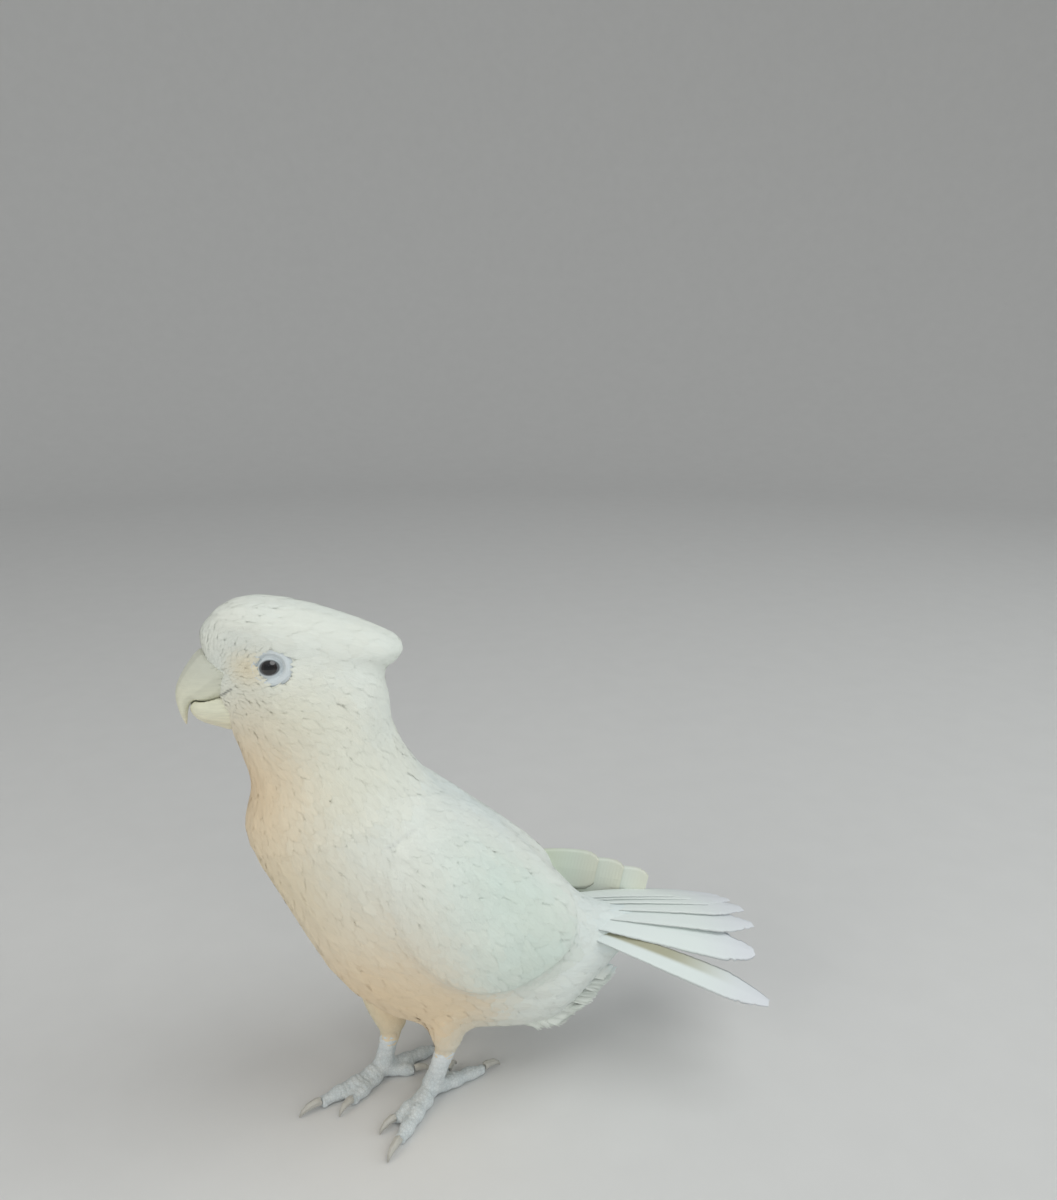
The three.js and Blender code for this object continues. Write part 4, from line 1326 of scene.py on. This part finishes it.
def make_plumage(outer, skin, skin_shell):
    """The whole coat, region by region, and the loose tufts under the tail."""
    plumage = Plumage(outer, skin, skin_shell)
    owner = owners(outer.points, [*FLESH, "crest"])
    flow = lie_of_coat(outer, owner)
    lengths = feather_lengths(outer, owner)
    material = plumage_material("plumage")
    pieces, lobe = regions(outer)
    for name, (chosen, kind, slim, cover) in pieces.items():
        points, quad = scatter(outer, np.flatnonzero(chosen), lengths * math.sqrt(slim / cover))
        length = outer.blended(lengths[:, None], points, quad)[:, 0]
        roots = plumage.roots(points, quad, flow, length, length * slim, kind)
        make_coat(name, plumage, roots, material, ["crest"] if name == "crest_feathers" else ())
    points, quad = scatter(outer, lobe, np.full(len(outer.points), VENT["apart"] * MM))
    length = np.full(len(points), VENT["length"] * MM)
    roots = plumage.roots(points, quad, flow, length, VENT["slim"] * length, "loose", 0.10, VENT["lean"],
                          VENT["share"])
    # The tufts' tips take the painted cool daylight.
    make_coat("vent_tufts", plumage, roots, plumage_material("vent_tufts", wash=WHITE, tip=COOL_DAYLIGHT))


def facing_up(outer):
    """How far each quad of the coat's surface faces up."""
    return outer.normals[outer.quads].mean(1)[:, 2]


def wing_focus(side):
    """Where a wing's feathers fan from: above and in front of its wrist."""
    wing = f"wing_{side}"
    return np.array((centre(wing)[X], place_in(wing, Y, 0, -18), place_in(wing, Z, 1, 7)))


# Over these distances from the bill the feathers turn from spreading off it to running along the body.
FACE_TO_BODY = (24 * MM, 62 * MM)
CREST_WAY = np.array([[0, 1.0, -0.25]])


def lie_of_coat(outer, owner):
    """The way the feathers lie at each vertex of the coat's surface."""
    points = outer.points
    way = spine_way(points)
    from_bill = unit(points - FACE_FROM)
    share = smoothstep(np.linalg.norm(points - FACE_FROM, axis=1), *FACE_TO_BODY)[:, None]
    way = unit(way * share + from_bill * (1 - share))
    for side in SIDES:
        wing = (owner == f"wing_{side}")[:, None]
        way = np.where(wing, unit(points - wing_focus(side)), way)
        thigh = (owner == f"thigh_{side}")[:, None]
        down = unit((centre(f"tarsus_{side}") - centre(f"thigh_{side}"))[None])
        way = np.where(thigh, down, way)
    crest = (owner == "crest")[:, None]
    way = np.where(crest, unit(CREST_WAY), way)
    for _ in range(ROUNDS["flow"]):
        way = way - dot(way, outer.normals) * outer.normals
        way = unit(0.4 * way + 0.6 * around(way, outer.edges))
    return way


# ---------- long feathers ----------
LONG_ROWS = 72
LONG_COLUMNS = 5
VANE_THICK = 0.5 * MM
SHAFT_THICK = 0.35 * MM
BARB_SLANT = 0.10
# A long feather's width at its root as a share of its greatest, which comes at this share of its length,
# and how far its vane curves down at the edge for its half width.
ROOT_WIDTH = 0.4
WIDEST = 0.77
CUP = 0.06


def long_feather(root, way, up, length, width, bend, roundness, ragged):
    """One tail or flight feather: its middle surface, half its thickness as vectors, and its flat shape."""
    base = TIP * np.arange(LONG_ROWS + 1) / LONG_ROWS
    end = base + (1 - base) * BARB_SLANT
    side = np.arange(-LONG_COLUMNS, LONG_COLUMNS + 1) / LONG_COLUMNS
    out = np.abs(side)
    along = base[:, None] + (end - base)[:, None] * out
    swell = ROOT_WIDTH + (1 - ROOT_WIDTH) * np.sin(np.clip(end / WIDEST, 0, 1) * math.pi / 2)
    past = np.clip((end - WIDEST) / (1 - WIDEST), 0, 1)
    taper = (1 - past ** roundness) ** (1 / roundness)
    worn = ragged * (0.10 + past[:, None])
    wear = 1 + worn * np.cumsum(rng.normal(0, 0.05, (LONG_ROWS + 1, 2)), axis=0)
    wear = wear - worn * (rng.random((LONG_ROWS + 1, 2)) < 0.35) * rng.uniform(0.2, 1.0, (LONG_ROWS + 1, 2))
    half = width / 2 * np.maximum(swell * taper, 0.03)
    across = half[:, None] * side * np.where(side < 0, wear[:, :1], wear[:, 1:]) ** (out ** 2)
    forward = unit(np.asarray(way, float))
    right = unit(np.cross(up, forward))
    top = np.cross(forward, right)
    middle = np.asarray(root) + forward * (along * length)[..., None] - top * (bend * along ** 2)[..., None]
    drop = CUP * np.abs(across) * out
    points = middle + right * across[..., None] - top * drop[..., None]
    shaft = SHAFT_THICK * np.exp(-(out / 0.09) ** 2) * (1 - 0.8 * base[:, None])
    thick = VANE_THICK / 2 * (1 - out ** 2) + shaft
    return points, thick[..., None] * top, np.stack(np.broadcast_arrays(side, along), axis=-1)


def make_long(name, feathers, material, node):
    """One piece of joined long feathers, each on its own strip of the bake map."""
    wide = 2 * LONG_COLUMNS + 1
    each = (LONG_ROWS + 1) * wide
    one = grid_quads(LONG_ROWS, wide, range(wide - 1))
    points, quads, flats, bakes, roots = [], [], [], [], []
    for number, (shape, thick, flat) in enumerate(feathers):
        start = number * 2 * each
        points += [(shape + thick).reshape(-1, 3), (shape - thick).reshape(-1, 3)]
        quads += [one + start, one[:, ::-1] + start + each]
        for half in (0, 1):
            strip = (np.array((number + half * 0.5 + 0.25, 0)) + flat * (0.22, 1)) / (len(feathers), 1)
            bakes.append((strip * 0.96 + 0.02).reshape(-1, 2))
            flats.append(flat.reshape(-1, 2))
        roots.append(np.repeat(shape[0, LONG_COLUMNS][None], 2 * each, axis=0))
    piece = new_object(name, np.concatenate(points), np.concatenate(quads), material)
    add_uv(piece, "OFBake", np.concatenate(bakes))
    add_uv(piece, "vane", np.concatenate(flats))
    add_attribute(piece, "root", "FLOAT_VECTOR", np.concatenate(roots))
    add_attribute(piece, "tint", "FLOAT", np.repeat(rng.normal(1.0, 0.015, len(feathers)), 2 * each))
    weld = bmesh.new()
    weld.from_mesh(piece.data)
    bmesh.ops.remove_doubles(weld, verts=weld.verts, dist=0.002 * MM)
    weld.to_mesh(piece.data)
    weld.free()
    hand_over(piece, [node])
    print(f"scene: {name}: {len(feathers)} feathers, {2 * len(piece.data.polygons)} triangles")


# The tail as in the CAD: degrees from straight back towards the bird's left, and sizes in mm. The closed
# feathers crowd to the right, and each grows shorter and droops more away from the middle.
TAIL_CLOSED = {"count": 7, "from": -15, "to": 12, "crowd": 2.2, "root_half": 7, "roll": 14, "length": 87,
               "shorter": 5, "droop": 6.5, "more": 3}
TAIL_SPLAYED = {"angle": 33, "droop": 9.5, "length": 85, "drop": 3.5, "across": 9, "roll": 16,
                "width": 14.5, "roundness": 1.25}
TAIL_WIDTH = 19
TAIL_BEND = 8
TAIL_TILT = 0.22
TAIL_RAGGED = 0.35
TAIL_INSIDE = 8
# A shorter feather lies under each gap between two, as the real tail's next layer does.
TAIL_UNDER = {"shorter": 12, "drop": 0.6}


def tail_feather(angle, droop, length, across, roll, drop=0.0, width=TAIL_WIDTH, roundness=1.35):
    """One tail feather from its angle off straight back, in degrees, and sizes in mm."""
    sunk = 1.5 + across * TAIL_TILT + drop
    root = np.array((MIDDLE_X + across * MM, place_in("tail", Y, 0, -1.8), place_in("tail", Z, 1, -sunk)))
    turn, down, lean = (math.radians(v) for v in (angle, droop, roll))
    way = np.array((math.sin(turn) * math.cos(down), math.cos(turn) * math.cos(down), -math.sin(down)))
    up = np.array((math.sin(lean), 0, math.cos(lean)))
    length = (length + TAIL_INSIDE) * MM
    return long_feather(root - way * TAIL_INSIDE * MM, way, up, length, width * MM, TAIL_BEND * MM, roundness,
                        TAIL_RAGGED)


def make_tail(material, splayed_material):
    """The half-fanned tail and the feather splayed to the left."""
    feathers = []
    fan = TAIL_CLOSED
    for number in np.arange(0, fan["count"] - 0.5, 0.5):
        share = (number / (fan["count"] - 1)) ** fan["crowd"]
        across = 2 * share - 1
        outward = across * across
        between = number % 1 > 0
        angle = fan["from"] + (fan["to"] - fan["from"]) * share
        length = fan["length"] - fan["shorter"] * outward - TAIL_UNDER["shorter"] * between
        feathers.append(tail_feather(angle, fan["droop"] + fan["more"] * outward, length,
                                     across * fan["root_half"], across * fan["roll"],
                                     TAIL_UNDER["drop"] * between))
    make_long("tail_feathers", feathers, material, "tail")
    make_long("tail_feather_splayed", [tail_feather(**TAIL_SPLAYED)], splayed_material, "tail_splayed_left")


# The right wing's flight feathers as in the CAD, how round their tips and how ragged their edges are, and
# their first and last tips in mm from the node's box.
FLIGHT = {"count": 3, "width": 20, "length": 44, "droop": 12, "inward": 0.12}
FLIGHT_EDGE = (2.5, 0.08)
FLIGHT_FIRST = {"x": -5.3, "y": -24.3, "z": -13.1}
FLIGHT_LAST = {"x": -3.8, "y": -0.3, "z": 6.8}


def make_flights(material):
    """The right wing's flight feathers, stepped down and back beside the rump."""
    lo, hi = box("flight_right")
    first = hi + np.array([FLIGHT_FIRST[axis] for axis in "xyz"]) * MM
    last = np.array((hi[0], hi[1], lo[2])) + np.array([FLIGHT_LAST[axis] for axis in "xyz"]) * MM
    droop = math.radians(FLIGHT["droop"])
    way = unit(np.array((FLIGHT["inward"], math.cos(droop), -math.sin(droop))))
    up = np.array((-1, 0, 0))
    feathers = []
    length, width = FLIGHT["length"] * MM, FLIGHT["width"] * MM
    for share in np.linspace(0, 1, FLIGHT["count"]):
        root = first + (last - first) * share - way * length
        feathers.append(long_feather(root, way, up, length, width, 0.0, *FLIGHT_EDGE))
    make_long("flight_feathers_right", feathers, material, "flight_right")


# ---------- bill and claws ----------
# The size of the new mesh, the rounds of smoothing, and how far the back face moves into the flesh.
BILL = {"voxel": 0.4 * MM, "rounds": 18, "inset": 2.5 * MM}
CLAW = {"voxel": 0.28 * MM, "rounds": 3, "inset": 0.0}


def make_horn(node, slot, material, voxel, rounds, inset):
    """A smooth fine copy of a CAD bill half or claw, its back face moved into the flesh by inset."""
    points, normals, quads = remeshed([node], voxel)
    back = smoothstep(normals[:, Y], 0.15, 0.6) * (points[:, Y] > centre(node)[Y])
    points = relax(points, edges_of(quads), rounds, 0.5)
    points[:, Y] += back * inset
    points[:, Z] = np.maximum(points[:, Z], SOLE)
    hand_over(new_object(f"{node}_horn", points, quads, material), [node])


def make_floor():
    """A wide pale floor that curves up far behind the bird on every side; it isn't part of the model."""
    turns = np.linspace(0, 2 * math.pi, FLOOR_TURNS, endpoint=False)
    bend = np.linspace(0, math.pi / 2, FLOOR_BENDS)
    radii = [0.02, *(FLOOR_RADIUS - FLOOR_BEND + FLOOR_BEND * np.sin(bend)), FLOOR_RADIUS]
    heights = [0.0, *(FLOOR_BEND * (1 - np.cos(bend))), FLOOR_HEIGHT]
    points = [(r * math.cos(t), r * math.sin(t), h) for r, h in zip(radii, heights) for t in turns]
    quads = grid_quads(len(radii) - 1, FLOOR_TURNS, range(FLOOR_TURNS))
    floor = new_object("floor", np.array(points), quads, floor_material())
    mesh = bmesh.new()
    mesh.from_mesh(floor.data)
    mesh.verts.ensure_lookup_table()
    mesh.faces.new([mesh.verts[k] for k in range(FLOOR_TURNS)])
    mesh.to_mesh(floor.data)
    mesh.free()


make_camera()
make_lights()
make_floor()
outer_shell = coat_surface([*FLESH, "crest"])
eye_frames = {side: eye_frame(side, outer_shell) for side in SIDES}
skin_piece, skin_shell = make_skin(outer_shell, eye_frames)
print(f"scene: skin {2 * len(skin_piece.data.polygons)} triangles")
eye_look = eye_material()
for eye_side in SIDES:
    make_eye(eye_side, eye_frames[eye_side], eye_look)
make_plumage(outer_shell, skin_piece, skin_shell)
make_tail(plumage_material("tail_feathers", tip=LILAC),
          plumage_material("splayed_feather", tip=LILAC, inner=STRAW))
make_flights(plumage_material("flight_feathers", wash=LEMON, tip=CREAM))
horn = horn_material()
for bill_node in ("bill_upper", "bill_lower"):
    make_horn(bill_node, "bill", horn, **BILL)
claw = claw_material()
for claw_node in CLAWS:
    make_horn(claw_node, "claw", claw, **CLAW)
